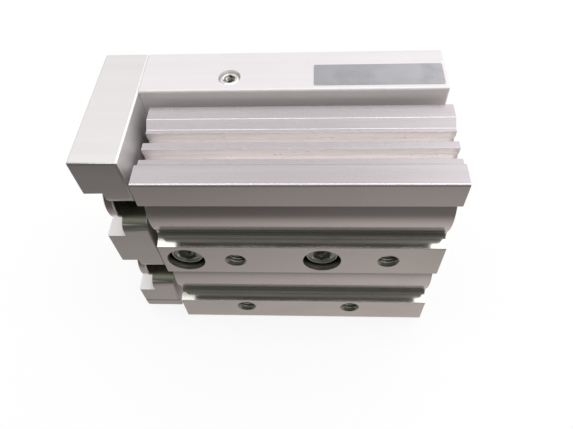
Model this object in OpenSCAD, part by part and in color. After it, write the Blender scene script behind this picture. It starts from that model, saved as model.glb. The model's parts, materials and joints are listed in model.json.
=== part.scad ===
// Pneumatic slide table, twin bore, with a recirculating ball guide.
// Bench frame used by every module: x runs back from the front end of the body, y runs from the
// mounting lands towards the working face of the table, z runs up from the lower side of the body.
// The finished part stands on that lower side, with its origin at the bottom centre of its box.

/* [Body] */
// Length of the body
body_len = 81.5; // [78:0.5:110]
// Width of the body, from its lower side up to its grooved side
body_w = 74.5; // [73.5:0.5:80]
// Height of the body, from its mounting lands to its guide face
body_h = 27.8; // [27.5:0.1:29]
// Height of the guide line and of the middle land above the lower side
guide_z = 39.5; // [38.5:0.5:41]
// Chamfer on the long edges of body, table, end plate and guide
edge_c = 0.4; // [0.2:0.1:0.8]
// Radius of the two long edges at the lower side of the body
foot_r = 1.8; // [0.8:0.1:2.4]

/* [Cylinders] */
// Working stroke
stroke = 20; // [10:1:20]
// Bore diameter
bore_d = 20; // [18:0.5:20.5]
// Distance between the two bores
bore_pitch = 33.6; // [33:0.2:34.4]
// Distance of the bore axes from the mounting lands
bore_y = 14.1; // [13.8:0.1:14.4]
// Piston rod diameter
rod_d = 8; // [7:0.5:9]
// Diameter of the reduced rod ends that carry nut and piston
rod_end_d = 5; // [4:0.5:5.5]
// Depth of the front gland, which holds the rod cover and the rod seal
gland_depth = 8.4; // [8:0.1:9]
// Diameter of the front gland
gland_d = 16; // [15:0.5:17]
// Length of the brass rod cover
rod_cover_len = 3.3; // [3:0.1:3.6]
// Wall between the gland and the working chamber
front_wall = 1.6; // [1.2:0.1:2.5]
// Thickness of the rubber bumpers
bumper_t = 1.5; // [1:0.1:2]
// Distance of each retaining ring from the end of its bore
ring_inset = 0.9; // [0.7:0.1:1.2]
// Thickness of the retaining rings
ring_t = 1.1; // [0.8:0.1:1.2]
// Depth of the ring grooves in the bore wall
ring_groove = 0.6; // [0.4:0.1:0.8]
// Length of the head cap plug
head_cap_len = 5.5; // [5:0.1:6]
// Length of the nose in front of the head cap, which leaves room for the rear air passage
head_nose_len = 3; // [2.8:0.1:3.6]
// Diameter of the noses on head cap and piston
nose_d = 13; // [12:0.5:14]
// Length of the full-diameter part of the piston
piston_len = 20; // [16:0.5:22]
// Length of the magnet ring in the piston
magnet_len = 5; // [4:0.5:6]
// Width of the piston seal
seal_w = 2.5; // [2:0.1:3]
// Depth of the piston grooves for magnet and seal
groove_depth = 2; // [1.6:0.1:2.4]
// Section of the head cap sealing ring
cap_seal_w = 1.8; // [1.5:0.1:2]

/* [Mounting lands] */
// Width of the channels between the lands, over each bore, at their mouths
channel_w = 19.6; // [18:0.2:20]
// Depth of the channels at their sides
channel_depth = 3.5; // [3.2:0.1:3.8]
// How far each side of a channel leans in from its mouth to its bottom
channel_lean = 0.9; // [0.6:0.1:1.4]
// Depth of the channels over the crest of the bore wall
crest_depth = 1.9; // [1.6:0.1:2.2]
// Radius of the crest
crest_r = 14; // [13:0.5:18]
// Radius of the corners of the channels
channel_r = 1; // [0.5:0.1:1.5]
// Distance of the tapped holes from the front end
tap_x = 21.8; // [21:0.1:24]
// Distance between the tapped holes of the middle land
middle_tap_pitch = 44.5; // [42:0.1:46]
// Distance between the tapped holes of the lower land
lower_tap_pitch = 35; // [33:0.1:38]
// Height of the lower tapped holes above the lower side
lower_tap_z = 8.8; // [8:0.1:9]
// Depth of the tapped holes in the middle land
middle_tap_depth = 12; // [8:1:14]
// Depth of the tapped holes in the lower land
lower_tap_depth = 9.5; // [7:0.5:9.5]
// Core diameter of the M6 tapped holes
tap_d = 5; // [4.2:0.1:5.2]

/* [Grooved side] */
// Distance of the sunk strip from the mounting lands
strip_y = 6.5; // [6:0.1:7]
// Width of the sunk strip at its rim
strip_w = 16.2; // [16:0.1:17]
// Depth of the sunk strip
strip_depth = 1.7; // [1.4:0.1:1.9]
// Run of the steep slope on the land side
steep_run = 1.6; // [1.2:0.1:1.8]
// Run of the gentle slope on the table side
gentle_run = 2.4; // [2.2:0.1:2.8]
// Distance of the first switch groove from the mounting lands
switch_y = 11.55; // [11.3:0.05:11.8]
// Distance between the two switch grooves
switch_pitch = 5.85; // [5.6:0.05:6]
// Width of the mouth of the switch grooves
switch_mouth = 3.4; // [3:0.1:3.6]
// Diameter of the round bottom of the switch grooves
switch_d = 4.2; // [4:0.1:4.5]
// Depth of the switch grooves below the sunk strip
switch_depth = 5.1; // [4.6:0.1:5.2]

/* [Air ports] */
// Core diameter of the two air ports
port_d = 8.6; // [8:0.1:9]
// Depth of the air ports
port_depth = 8.5; // [7.5:0.5:9]
// Diameter of the drilled air passages
passage_d = 2.5; // [2:0.1:2.6]

/* [Table] */
// Gap between the body and the underside of the table
table_gap = 2; // [1.6:0.1:2.6]
// Thickness of the table
table_t = 16.2; // [15:0.1:18]
// Width of the table and of the end plate
table_w = 77; // [75:0.5:77]
// Distance of the rear end of the table in front of the rear end of the body
table_inset = 1.1; // [0.5:0.1:3]
// Thickness of the table over the guide recess
table_web = 6; // [5.5:0.1:7]
// Distance of the first tapped holes from the front end of the table
table_tap_x = 22.7; // [20:0.1:26]
// Distance between the tapped holes along the table
table_tap_pitch = 45; // [40:1:48]
// Distance between the tapped holes across the table
table_tap_span = 52; // [50:1:56]
// Depth of the tapped holes in the table
table_tap_depth = 10; // [8:0.5:11]
// Diameter of the two locating pin holes in the working face
pin_hole_d = 5; // [4:0.5:5]
// Depth of the locating pin holes
pin_hole_depth = 4; // [3:0.5:4.5]
// Distance between the locating pin holes
pin_hole_pitch = 26; // [24:1:30]
// Diameter of the set screw in the side of the table
set_screw_d = 6; // [5:0.5:6]
// Length of the set screw
set_screw_len = 6; // [5:0.5:7]
// Distance of the set screw behind the front end of the table
set_screw_x = 24.3; // [22:0.1:28]
// Distance of the set screw from the underside of the table
set_screw_y = 5.4; // [4.5:0.1:8]
// How far the set screw lies below the side face
set_screw_sink = 0.4; // [0.2:0.1:1]
// Length of the label plate
label_len = 34.7; // [30:0.1:36]
// Width of the label plate
label_w = 8.4; // [8:0.1:10]
// Thickness of the label plate
label_t = 0.15; // [0.1:0.05:0.3]
// Distance of the label plate from the rear end of the table
label_margin = 1; // [0.8:0.1:3]
// Distance of the label plate from the underside of the table
label_rise = 1.6; // [0.8:0.1:3]

/* [End plate] */
// Thickness of the end plate
plate_t = 12.7; // [12:0.1:14]
// Gap between the end plate and the body when retracted
plate_gap = 2.7; // [2.6:0.1:4]
// Distance of the lower face of the end plate above the mounting lands
plate_rise = 3.9; // [3:0.1:5]
// Depth of the wide notches, which hold the rod nuts
notch_depth = 5.4; // [5:0.1:5.6]
// Width of the wide notches
notch_w = 20; // [19:0.5:21]
// Running clearance of the narrow notches round the floating bushes
notch_play = 0.2; // [0.1:0.05:0.3]
// Radius of the flared mouths of the narrow notches
flare_r = 4.1; // [3.5:0.1:4.5]
// Distance between the tapped holes across the end plate
face_tap_span = 25; // [22:1:28]
// Distance between the two rows of tapped holes on the end plate
face_tap_rows = 12; // [11:0.5:12]
// Distance of the upper row from the working face
face_tap_edge = 5.5; // [5:0.5:6]
// Core diameter of the M5 tapped holes
face_tap_d = 4.2; // [3.8:0.1:4.4]
// Depth of the tapped holes in the end plate
face_tap_depth = 9; // [7:0.5:10]
// Distance between the two dowel pins
dowel_span = 48; // [46:1:50]
// Diameter of the dowel pins
dowel_d = 4; // [3:0.5:4]
// Length of the dowel pins
dowel_len = 12; // [10:1:12]
// Distance of the dowel pins from the working face
dowel_edge = 3.6; // [3.2:0.1:4]

/* [Rod ends] */
// Diameter of the rod nuts
nut_d = 17.4; // [16:0.2:17.6]
// Thickness of the rod nuts
nut_t = 2.7; // [2.4:0.1:3]
// Barrel diameter of the floating bushes
bush_d = 8; // [7.5:0.5:8.5]
// Flange diameter of the floating bushes
bush_flange_d = 13; // [12:0.5:14]
// Flange thickness of the floating bushes
bush_flange_t = 1.5; // [1:0.1:1.6]

/* [Guide] */
// Distance of each block bolt from the end of the steel guide block
block_edge = 4; // [3.5:0.1:4.4]
// Width of the guide block
block_w = 36; // [35:0.5:37]
// Depth of the seat of the guide block in the body
block_seat = 2; // [1.5:0.1:2]
// Thickness of the floor of the guide block
block_floor = 7; // [6.5:0.1:7]
// Height of the arms of the guide block above its floor
block_arm = 6.4; // [6:0.1:6.6]
// Width of the guide rail
rail_w = 18; // [17:0.5:18.5]
// Gap between rail and block, at the sides and below
rail_gap = 0.3; // [0.2:0.05:0.5]
// Length of the guide rail
rail_len = 79; // [76:0.5:82]
// Distance of the front end of the rail from the end plate
rail_inset = 0.5; // [0.3:0.1:1]
// Ball diameter
ball_d = 3; // [2.4:0.2:3]
// Play of the balls in their races
ball_play = 0.15; // [0.1:0.05:0.2]
// Distance between the loaded row and the return row
row_pitch = 4.86; // [4.6:0.02:5]
// Least gap between neighbouring balls
ball_gap = 0.02; // [0.01:0.01:0.2]
// Thickness of the return guides at the ends of the block
return_t = 4.1; // [4:0.1:4.2]
// Thickness of the scrapers
scraper_t = 0.6; // [0.4:0.1:0.8]
// Gap between scraper and rail
scraper_gap = 0.3; // [0.2:0.05:0.4]
// Number of screws that hold the rail
rail_bolt_count = 3; // [2:1:4]
// Distance of the first rail screw from the front end of the rail
rail_bolt_x = 10; // [8:0.5:12]
// Distance between the rail screws
rail_bolt_pitch = 29; // [20:1:32]

/* [Screws] */
// Thread diameter of the two block bolts
block_bolt_d = 6; // [5:0.5:6]
// Length of the block bolts under their heads
block_bolt_len = 24; // [22:1:24]
// Distance of the first block bolt from the front end of the body
block_bolt_x = 7.15; // [6.9:0.05:7.4]
// Distance between the block bolts
block_bolt_pitch = 40; // [39:0.5:41]
// How far the bolt heads lie below the middle land
block_bolt_sink = 1.8; // [1:0.1:2]
// Thread diameter of the end plate screws
plate_screw_d = 6; // [5:0.5:6]
// Length of the end plate screws under their heads
plate_screw_len = 16; // [14:1:18]
// How far the end plate screw heads lie below the face
plate_screw_sink = 0.5; // [0.3:0.1:1]
// Distance between the two end plate screws
plate_screw_span = 62; // [60:1:63]
// Thread diameter of the rail screws
rail_screw_d = 3; // [2.5:0.5:3]
// Length of the rail screws under their heads
rail_screw_len = 8; // [6:0.5:8.5]
// How far the rail screw heads lie below the working face
rail_screw_sink = 0.4; // [0.2:0.1:0.6]
// Thread diameter of the small screws on the return guides
small_screw_d = 2; // [1.6:0.1:2]
// Length of the small screws under their heads
small_screw_len = 9; // [8:0.5:10]
// Head thickness of the small screws
small_head_t = 0.5; // [0.4:0.1:0.6]
// Distance between the two small screws at each end
small_screw_span = 27; // [24:1:28]
// Clearance all round a screw in its hole
screw_gap = 0.3; // [0.2:0.05:0.4]
// Radial clearance of fixed fits
fit = 0.05; // [0.03:0.01:0.08]
// Radial clearance of sliding fits
slide_fit = 0.05; // [0.03:0.01:0.08]

/* [Hidden] */

$fn = 64;
// Extra length of every cut, so that no cut ends on a face
over = 1;
UPPER = 1;
LOWER = -1;

// Table and end plate
table_y = body_h + table_gap;
top_y = table_y + table_t;
ceiling_y = top_y - table_web;
plate_x1 = -plate_gap;
plate_x0 = plate_x1 - plate_t;
shoulder_x = plate_x0 + notch_depth;
table_x1 = body_len - table_inset;
table_z0 = guide_z - table_w / 2;
table_z1 = guide_z + table_w / 2;

// Guide
block_len = block_bolt_pitch + 2 * block_edge;
block_x0 = block_bolt_x - block_edge;
block_x1 = block_x0 + block_len;
block_y0 = body_h - block_seat;
floor_y = block_y0 + block_floor;
arm_y = floor_y + block_arm;
rail_y0 = floor_y + 2 * rail_gap;
rail_h = ceiling_y - rail_y0;
race_y = rail_y0 + rail_h / 2;
race_r = ball_d / 2 + ball_play;
loaded_z = rail_w / 2 + rail_gap / 2;
turn_r = row_pitch / 2;
turn_z = loaded_z + turn_r;
recess_half = block_w / 2 + 2 * screw_gap;
rail_x0 = plate_x1 + rail_inset;

// Cylinders
chamber_x = gland_depth + front_wall;
cap_x1 = body_len - ring_inset - ring_t;
cap_x0 = cap_x1 - head_cap_len;
nose_x = cap_x0 - head_nose_len;
piston_x1 = nose_x - bumper_t;
piston_x0 = piston_x1 - piston_len;
piston_nose_x = chamber_x + bumper_t + stroke;
front_port_x = chamber_x + bumper_t + passage_d / 5;
rear_port_x = (nose_x + cap_x0) / 2;
rod_shoulder_x = plate_x1 + fit + bush_flange_t;
rod_hole_d = rod_d + 1;
piston_pin_d = rod_end_d + 1;

// Heads of socket screws by their thread diameter: diameter, height, key width, key depth
function head_d(d) = 1.5 * d + 1;
function head_h(d) = d;
function key_w(d) = d * 5 / 6;
function key_depth(d) = d / 2;
function bolt_seat(d, sink) = sink + head_h(d);

// Length of a ball loop, and how many balls fit in it with a gap left in the turns
function loop_len() = 2 * block_len + 2 * PI * turn_r;
function ball_count() =
    floor(loop_len() / (2 * turn_r * asin((ball_d + ball_gap) / (2 * turn_r)) * PI / 180));
// Centre of one ball of a loop, at the share s of the way round, in the x and z of its turn centre
function loop_at(s) =
    let (d = s * loop_len(), turn = PI * turn_r)
    d < block_len ? [d, -turn_r]
    : d < block_len + turn ? turn_at(block_len, -90 + (d - block_len) / turn_r * 180 / PI)
    : d < 2 * block_len + turn ? [2 * block_len + turn - d, turn_r]
    : turn_at(0, 90 + (d - 2 * block_len - turn) / turn_r * 180 / PI);
function turn_at(x, a) = [x + turn_r * cos(a), turn_r * sin(a)];

// Corners of a rectangle with chamfered corners
function chamfered(a0, b0, a1, b1, c) = [[a0 + c, b0], [a1 - c, b0], [a1, b0 + c], [a1, b1 - c],
    [a1 - c, b1], [a0 + c, b1], [a0, b1 - c], [a0, b0 + c]];

// Moves the bench frame to the frame of the part
module placed() {
    translate([-(plate_x0 + max(body_len, table_x1)) / 2, -top_y / 2, 0]) children();
}

// Extrudes a profile drawn in y and z from x0 to x1
module along_x(x0, x1) {
    translate([x0, 0, 0]) rotate([90, 0, 90]) linear_extrude(x1 - x0) children();
}

// Round bars along each axis
module bar_x(x0, x1, d) {
    translate([x0, 0, 0]) rotate([0, 90, 0]) cylinder(h = x1 - x0, d = d);
}
module bar_y(y0, y1, d) {
    translate([0, y0, 0]) rotate([-90, 0, 0]) cylinder(h = y1 - y0, d = d);
}
module cone_y(y0, y1, d0, d1) {
    translate([0, y0, 0]) rotate([-90, 0, 0]) cylinder(h = y1 - y0, d1 = d0, d2 = d1);
}

// Ring along x
module ring_x(x0, x1, d_out, d_in) {
    difference() {
        bar_x(x0, x1, d_out);
        bar_x(x0 - over, x1 + over, d_in);
    }
}

// Box with all edges chamfered, between two corners
module chamfer_box(p0, p1, c) {
    intersection() {
        along_x(p0.x, p1.x) polygon(chamfered(p0.y, p0.z, p1.y, p1.z, c));
        translate([0, 0, p0.z]) linear_extrude(p1.z - p0.z)
            polygon(chamfered(p0.x, p0.y, p1.x, p1.y, c));
        translate([0, p1.y, 0]) rotate([90, 0, 0]) linear_extrude(p1.y - p0.y)
            polygon(chamfered(p0.x, p0.z, p1.x, p1.z, c));
    }
}

// Puts the children on the axis of one bore
module at_bore(side) {
    translate([0, bore_y, guide_z + side * bore_pitch / 2]) children();
}

// Puts the children on the guide line at a place along x
module on_guide(x) {
    translate([x, 0, guide_z]) children();
}

// Socket head screw along +z with its seat at the origin, its head below and its shank above
module socket_screw(d, len) {
    bevel = d / 12;
    difference() {
        union() {
            translate([0, 0, -head_h(d) + bevel]) cylinder(h = head_h(d) - bevel, d = head_d(d));
            translate([0, 0, -head_h(d)])
                cylinder(h = bevel, d1 = head_d(d) - 2 * bevel, d2 = head_d(d));
            cylinder(h = len - bevel, d = d);
            translate([0, 0, len - bevel]) cylinder(h = bevel, d1 = d, d2 = d - 2 * bevel);
        }
        translate([0, 0, -head_h(d) - over])
            cylinder(h = key_depth(d) + over, d = key_w(d) / cos(30), $fn = 6);
    }
}

// Tapped hole into a face at y0, going towards +y, with a chamfered mouth
module tapped_y(y0, depth, d) {
    lead = d / 9;
    bar_y(y0 - over, y0 + depth, d);
    cone_y(y0 - lead, y0 + lead, d + 4 * lead, d);
}

// One channel between two lands: leaning sides, rounded corners and the crest of the bore wall
module channel_profile() {
    lean = atan(channel_lean / channel_depth);
    mouth = channel_w / 2 + over * tan(lean);
    corner_x = channel_depth - channel_r;
    corner_y = channel_w / 2 - corner_x * tan(lean) - channel_r / cos(lean);
    touch = [corner_x + channel_r * sin(lean), corner_y + channel_r * cos(lean)];
    difference() {
        union() {
            polygon([[-over, -mouth], [touch[0], -touch[1]], [channel_depth, -corner_y],
                [channel_depth, corner_y], touch, [-over, mouth]]);
            for (s = [-1, 1]) translate([corner_x, s * corner_y]) circle(r = channel_r);
        }
        translate([crest_depth + crest_r, 0]) circle(r = crest_r);
    }
}

// One switch groove, with its mouth towards +z at the level of the sunk strip
module switch_profile() {
    round_z = switch_d / 2 - switch_depth;
    translate([-switch_mouth / 2, round_z]) square([switch_mouth, over - round_z]);
    translate([0, round_z]) circle(d = switch_d);
}

// Takes a corner of a profile away down to an arc that touches both of its sides
module rounded_corner(r) {
    difference() {
        translate([-over, -over]) square(r + over);
        translate([r, r]) circle(r = r);
    }
}

module body_profile() {
    strip_end = strip_y + strip_w;
    difference() {
        polygon(chamfered(0, 0, body_h, body_w, edge_c));
        rounded_corner(foot_r);
        translate([body_h, 0]) mirror([1, 0]) rounded_corner(foot_r);
        for (s = [LOWER, UPPER]) translate([0, guide_z + s * bore_pitch / 2]) channel_profile();
        polygon([[strip_y, body_w + over], [strip_y, body_w],
            [strip_y + steep_run, body_w - strip_depth],
            [strip_end - gentle_run, body_w - strip_depth],
            [strip_end, body_w], [strip_end, body_w + over]]);
        for (i = [0, 1]) translate([switch_y + i * switch_pitch, body_w - strip_depth])
            switch_profile();
        translate([block_y0, guide_z - block_w / 2 - fit])
            square([block_seat + over, block_w + 2 * fit]);
    }
}

// Everything that is bored on one cylinder axis
module cylinder_cuts() {
    bar_x(-over, gland_depth, gland_d);
    bar_x(ring_inset, ring_inset + ring_t, gland_d + 2 * ring_groove);
    bar_x(0, chamber_x + over, rod_hole_d);
    bar_x(chamber_x, body_len + over, bore_d);
    bar_x(cap_x1, cap_x1 + ring_t, bore_d + 2 * ring_groove);
}

// Air port in the lower side, drilled on through both bores
module port_cuts() {
    lead = port_d / 12;
    translate([0, bore_y, -over]) cylinder(h = port_depth + over, d = port_d);
    translate([0, bore_y, -lead]) cylinder(h = 2 * lead, d1 = port_d + 4 * lead, d2 = port_d);
    translate([0, bore_y, 0]) cylinder(h = guide_z + bore_pitch / 2, d = passage_d);
}

module body() placed() color([0.78, 0.77, 0.76]) difference() {
    along_x(0, body_len) body_profile();
    for (s = [LOWER, UPPER]) at_bore(s) cylinder_cuts();
    translate([front_port_x, 0, 0]) port_cuts();
    translate([rear_port_x, 0, 0]) port_cuts();
    for (i = [0, 1]) on_guide(block_bolt_x + i * block_bolt_pitch) {
        bar_y(-over, bolt_seat(block_bolt_d, block_bolt_sink), head_d(block_bolt_d) + 1);
        bar_y(0, body_h, block_bolt_d + 2 * screw_gap);
    }
    for (i = [0, 1]) on_guide(tap_x + i * middle_tap_pitch) tapped_y(0, middle_tap_depth, tap_d);
    for (i = [0, 1]) translate([tap_x + i * lower_tap_pitch, 0, lower_tap_z])
        tapped_y(0, lower_tap_depth, tap_d);
}

// Cuts that start at the working face of the table, turned to go towards -y
module from_top(x, z) {
    translate([x, top_y, z]) mirror([0, 1, 0]) children();
}

module table() placed() color([0.86, 0.85, 0.85]) {
    seat = bolt_seat(rail_screw_d, rail_screw_sink);
    mid_x = plate_x1 + table_tap_x + table_tap_pitch / 2;
    difference() {
        chamfer_box([plate_x1 - edge_c, table_y, table_z0], [table_x1, top_y, table_z1], edge_c);
        // the end that meets the end plate is cut square
        translate([plate_x1 - 2 * edge_c, table_y - over, table_z0 - over])
            cube([2 * edge_c, top_y - table_y + 2 * over, table_w + 2 * over]);
        translate([plate_x1 - over, table_y - over, guide_z - recess_half])
            cube([table_x1 - plate_x1 + 2 * over, ceiling_y - table_y + over, 2 * recess_half]);
        for (i = [0 : rail_bolt_count - 1])
            from_top(rail_x0 + rail_bolt_x + i * rail_bolt_pitch, guide_z) {
                bar_y(-over, seat, head_d(rail_screw_d) + 2 * screw_gap);
                bar_y(0, table_web + over, rail_screw_d + 2 * screw_gap);
            }
        for (i = [0, 1], s = [LOWER, UPPER])
            from_top(plate_x1 + table_tap_x + i * table_tap_pitch, guide_z + s * table_tap_span / 2)
                tapped_y(0, table_tap_depth, tap_d);
        for (s = [-1, 1]) from_top(mid_x + s * pin_hole_pitch / 2, guide_z)
            bar_y(-over, pin_hole_depth, pin_hole_d);
        for (s = [LOWER, UPPER]) {
            translate([0, plate_screw_y(), guide_z + s * plate_screw_span / 2])
                bar_x(plate_x1 - over, plate_screw_x() + plate_screw_len + over,
                    plate_screw_d + 2 * fit);
            translate([0, top_y - dowel_edge, guide_z + s * dowel_span / 2])
                bar_x(plate_x1 - over, plate_x1 + dowel_len / 2, dowel_d + 2 * fit);
        }
        translate([plate_x1 + set_screw_x, table_y + set_screw_y,
            table_z1 - set_screw_sink - set_screw_len])
            cylinder(h = set_screw_len + set_screw_sink + over, d = set_screw_d + 2 * fit);
    }
}

// Seat plane and height of the end plate screws
function plate_screw_x() = plate_x0 + bolt_seat(plate_screw_d, plate_screw_sink);
function plate_screw_y() = table_y + table_t / 2;

// Narrow notch of the end plate: round inner end, straight walls and a flared mouth
module narrow_notch() {
    half = bush_d / 2 + notch_play;
    mouth = bore_y - plate_rise;
    circle(r = half);
    translate([-mouth - over, -half]) square([mouth + over, 2 * half]);
    difference() {
        translate([-mouth - over, -half - flare_r]) square([over + flare_r, 2 * (half + flare_r)]);
        for (s = [-1, 1]) translate([flare_r - mouth, s * (half + flare_r)]) circle(r = flare_r);
    }
}

// Wide notch of the end plate: round inner end and straight walls
module wide_notch() {
    mouth = bore_y - plate_rise;
    circle(d = notch_w);
    translate([-mouth - over, -notch_w / 2]) square([mouth + over, notch_w]);
}

module end_plate() placed() color([0.88, 0.87, 0.86]) difference() {
    chamfer_box([plate_x0, plate_rise, table_z0], [plate_x1, top_y, table_z1], edge_c);
    for (s = [LOWER, UPPER]) {
        at_bore(s) {
            along_x(plate_x0 - over, shoulder_x) wide_notch();
            along_x(plate_x0 - over, plate_x1 + over) narrow_notch();
        }
        translate([0, plate_screw_y(), guide_z + s * plate_screw_span / 2]) {
            bar_x(plate_x0 - over, plate_screw_x(), head_d(plate_screw_d) + 1);
            bar_x(plate_x0, plate_x1 + over, plate_screw_d + 2 * screw_gap);
        }
        translate([0, top_y - dowel_edge, guide_z + s * dowel_span / 2])
            bar_x(plate_x1 - dowel_len / 2, plate_x1 + over, dowel_d + 2 * fit);
        for (row = [0, 1])
            translate([0, top_y - face_tap_edge - row * face_tap_rows,
                guide_z + s * face_tap_span / 2])
                bar_x(plate_x0 - over, plate_x0 + face_tap_depth, face_tap_d);
    }
}

// Races cut into rail, block and return guides by the loaded and return rows
module race_profile(z) {
    translate([race_y, z]) circle(r = race_r);
}

module guide_rail() placed() color([0.70, 0.71, 0.72]) difference() {
    along_x(rail_x0, rail_x0 + rail_len) translate([0, guide_z]) difference() {
        polygon(chamfered(rail_y0, -rail_w / 2, ceiling_y, rail_w / 2, edge_c));
        for (s = [-1, 1]) race_profile(s * loaded_z);
    }
    for (i = [0 : rail_bolt_count - 1])
        on_guide(rail_x0 + rail_bolt_x + i * rail_bolt_pitch)
            bar_y(top_y - bolt_seat(rail_screw_d, rail_screw_sink) - rail_screw_len,
                ceiling_y + over, rail_screw_d + 2 * fit);
}

// Channel section shared by the block, its return guides and its scrapers
module channel_section(half_w, y0, y_floor, y1, half_gap) {
    difference() {
        polygon(chamfered(y0, -half_w, y1, half_w, edge_c));
        translate([y_floor, -half_gap]) square([y1 - y_floor + over, 2 * half_gap]);
    }
}

module guide_block() placed() color([0.62, 0.63, 0.65]) difference() {
    along_x(block_x0, block_x1) translate([0, guide_z]) difference() {
        channel_section(block_w / 2, block_y0, floor_y, arm_y, rail_w / 2 + rail_gap);
        for (s = [-1, 1]) {
            race_profile(s * loaded_z);
            race_profile(s * (loaded_z + row_pitch));
        }
    }
    for (i = [0, 1]) on_guide(block_bolt_x + i * block_bolt_pitch)
        bar_y(block_y0 - over, floor_y + over, block_bolt_d + 2 * fit);
    small_screw_holes(fit);
}

// Holes of the small screws at both ends of the block
module small_screw_holes(gap) {
    reach = small_screw_len - return_t - scraper_t;
    for (s = [-1, 1]) translate([0, small_screw_y(), guide_z + s * small_screw_span / 2]) {
        bar_x(block_x0 - return_t - scraper_t - over, block_x0 + reach,
            small_screw_d + 2 * gap);
        bar_x(block_x1 - reach, block_x1 + return_t + scraper_t + over,
            small_screw_d + 2 * gap);
    }
}
function small_screw_y() = block_y0 + block_floor / 2;

module guide_balls() placed() color([0.80, 0.81, 0.82])
    for (s = [-1, 1], i = [0 : ball_count() - 1]) {
        p = loop_at((i + 0.5) / ball_count());
        translate([block_x0 + p.x, race_y, guide_z + s * (turn_z + p.y)]) sphere(d = ball_d);
    }

// Resin cap between x0 and x1, with the half rings that turn the balls round at turn_x
module return_guide(x0, x1, turn_x) {
    // Set-back of the cap behind the outline of the block
    inset = 0.3;
    difference() {
        along_x(x0, x1) translate([0, guide_z])
            channel_section(block_w / 2 - inset, body_h + inset, floor_y, arm_y - inset,
                rail_w / 2 + 2 * rail_gap);
        for (s = [-1, 1]) translate([turn_x, race_y, guide_z + s * turn_z])
            rotate([90, 0, 0]) rotate_extrude() translate([turn_r, 0]) circle(r = race_r);
        small_screw_holes(screw_gap);
    }
}

module front_return_guide() placed() color([0.10, 0.11, 0.12])
    return_guide(block_x0 - return_t, block_x0, block_x0);
module rear_return_guide() placed() color([0.10, 0.11, 0.12])
    return_guide(block_x1, block_x1 + return_t, block_x1);

// Thin wiper plate that follows the outline of the rail
module scraper(x0) {
    inset = 0.6;
    difference() {
        along_x(x0, x0 + scraper_t) translate([0, guide_z]) difference() {
            polygon(chamfered(body_h + inset, -block_w / 2 + inset, arm_y - inset,
                block_w / 2 - inset, edge_c));
            translate([rail_y0 - scraper_gap, -rail_w / 2 - scraper_gap])
                square([rail_h + scraper_gap + over, rail_w + 2 * scraper_gap]);
        }
        small_screw_holes(screw_gap);
    }
}

module front_scraper() placed() color([0.20, 0.20, 0.21])
    scraper(block_x0 - return_t - scraper_t);
module rear_scraper() placed() color([0.20, 0.20, 0.21])
    scraper(block_x1 + return_t);

// Small flat-headed screws, two at each end of the guide block
module return_guide_screws() placed() color([0.55, 0.55, 0.56])
    for (s = [-1, 1]) translate([0, small_screw_y(), guide_z + s * small_screw_span / 2]) {
        front_x = block_x0 - return_t - scraper_t;
        rear_x = block_x1 + return_t + scraper_t;
        bar_x(front_x - small_head_t, front_x, 2 * small_screw_d);
        bar_x(front_x, front_x + small_screw_len - small_head_t, small_screw_d);
        bar_x(rear_x, rear_x + small_head_t, 2 * small_screw_d);
        bar_x(rear_x - small_screw_len + small_head_t, rear_x, small_screw_d);
    }

module guide_block_bolts() placed() color([0.45, 0.46, 0.45])
    for (i = [0, 1]) on_guide(block_bolt_x + i * block_bolt_pitch)
        translate([0, bolt_seat(block_bolt_d, block_bolt_sink), 0]) rotate([-90, 0, 0])
            socket_screw(block_bolt_d, block_bolt_len);

module rail_bolts() placed() color([0.45, 0.46, 0.45])
    for (i = [0 : rail_bolt_count - 1])
        on_guide(rail_x0 + rail_bolt_x + i * rail_bolt_pitch)
            translate([0, top_y - bolt_seat(rail_screw_d, rail_screw_sink), 0])
                rotate([90, 0, 0]) socket_screw(rail_screw_d, rail_screw_len);

module end_plate_screws() placed() color([0.45, 0.46, 0.45])
    for (s = [LOWER, UPPER])
        translate([plate_screw_x(), plate_screw_y(), guide_z + s * plate_screw_span / 2])
            rotate([0, 90, 0]) socket_screw(plate_screw_d, plate_screw_len);

module end_plate_pins() placed() color([0.70, 0.70, 0.71])
    for (s = [LOWER, UPPER])
        translate([0, top_y - dowel_edge, guide_z + s * dowel_span / 2])
            bar_x(plate_x1 - dowel_len / 2, plate_x1 + dowel_len / 2, dowel_d);

module side_set_screw() placed() color([0.66, 0.67, 0.66])
    translate([plate_x1 + set_screw_x, table_y + set_screw_y, table_z1 - set_screw_sink])
        difference() {
            translate([0, 0, -set_screw_len]) cylinder(h = set_screw_len, d = set_screw_d);
            translate([0, 0, -set_screw_len / 2]) cylinder(h = set_screw_len,
                d = set_screw_d / 2 / cos(30), $fn = 6);
        }

module label_plate() placed() color([0.72, 0.73, 0.74])
    translate([table_x1 - label_margin - label_len, table_y + label_rise, table_z1])
        cube([label_len, label_w, label_t]);

module rod_nuts() placed() color([0.50, 0.50, 0.50])
    for (s = [LOWER, UPPER]) at_bore(s)
        ring_x(shoulder_x - fit - nut_t, shoulder_x - fit, nut_d, rod_end_d + 2 * fit);

// Stepped bush that lets the rod end float in the narrow notch
module floating_bush(side) placed() color([0.72, 0.60, 0.36]) at_bore(side) difference() {
    union() {
        bar_x(shoulder_x - fit, rod_shoulder_x, bush_d);
        bar_x(plate_x1 + fit, rod_shoulder_x, bush_flange_d);
    }
    bar_x(plate_x0, body_len, rod_end_d + 2 * fit);
}
module upper_floating_bush() floating_bush(UPPER);
module lower_floating_bush() floating_bush(LOWER);

module piston_rod(side) placed() color([0.75, 0.76, 0.77]) at_bore(side) {
    bar_x(shoulder_x - fit - nut_t, rod_shoulder_x, rod_end_d);
    bar_x(rod_shoulder_x, piston_nose_x, rod_d);
    bar_x(piston_nose_x, piston_x1 - bumper_t, piston_pin_d);
}
module upper_piston_rod() piston_rod(UPPER);
module lower_piston_rod() piston_rod(LOWER);

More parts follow.
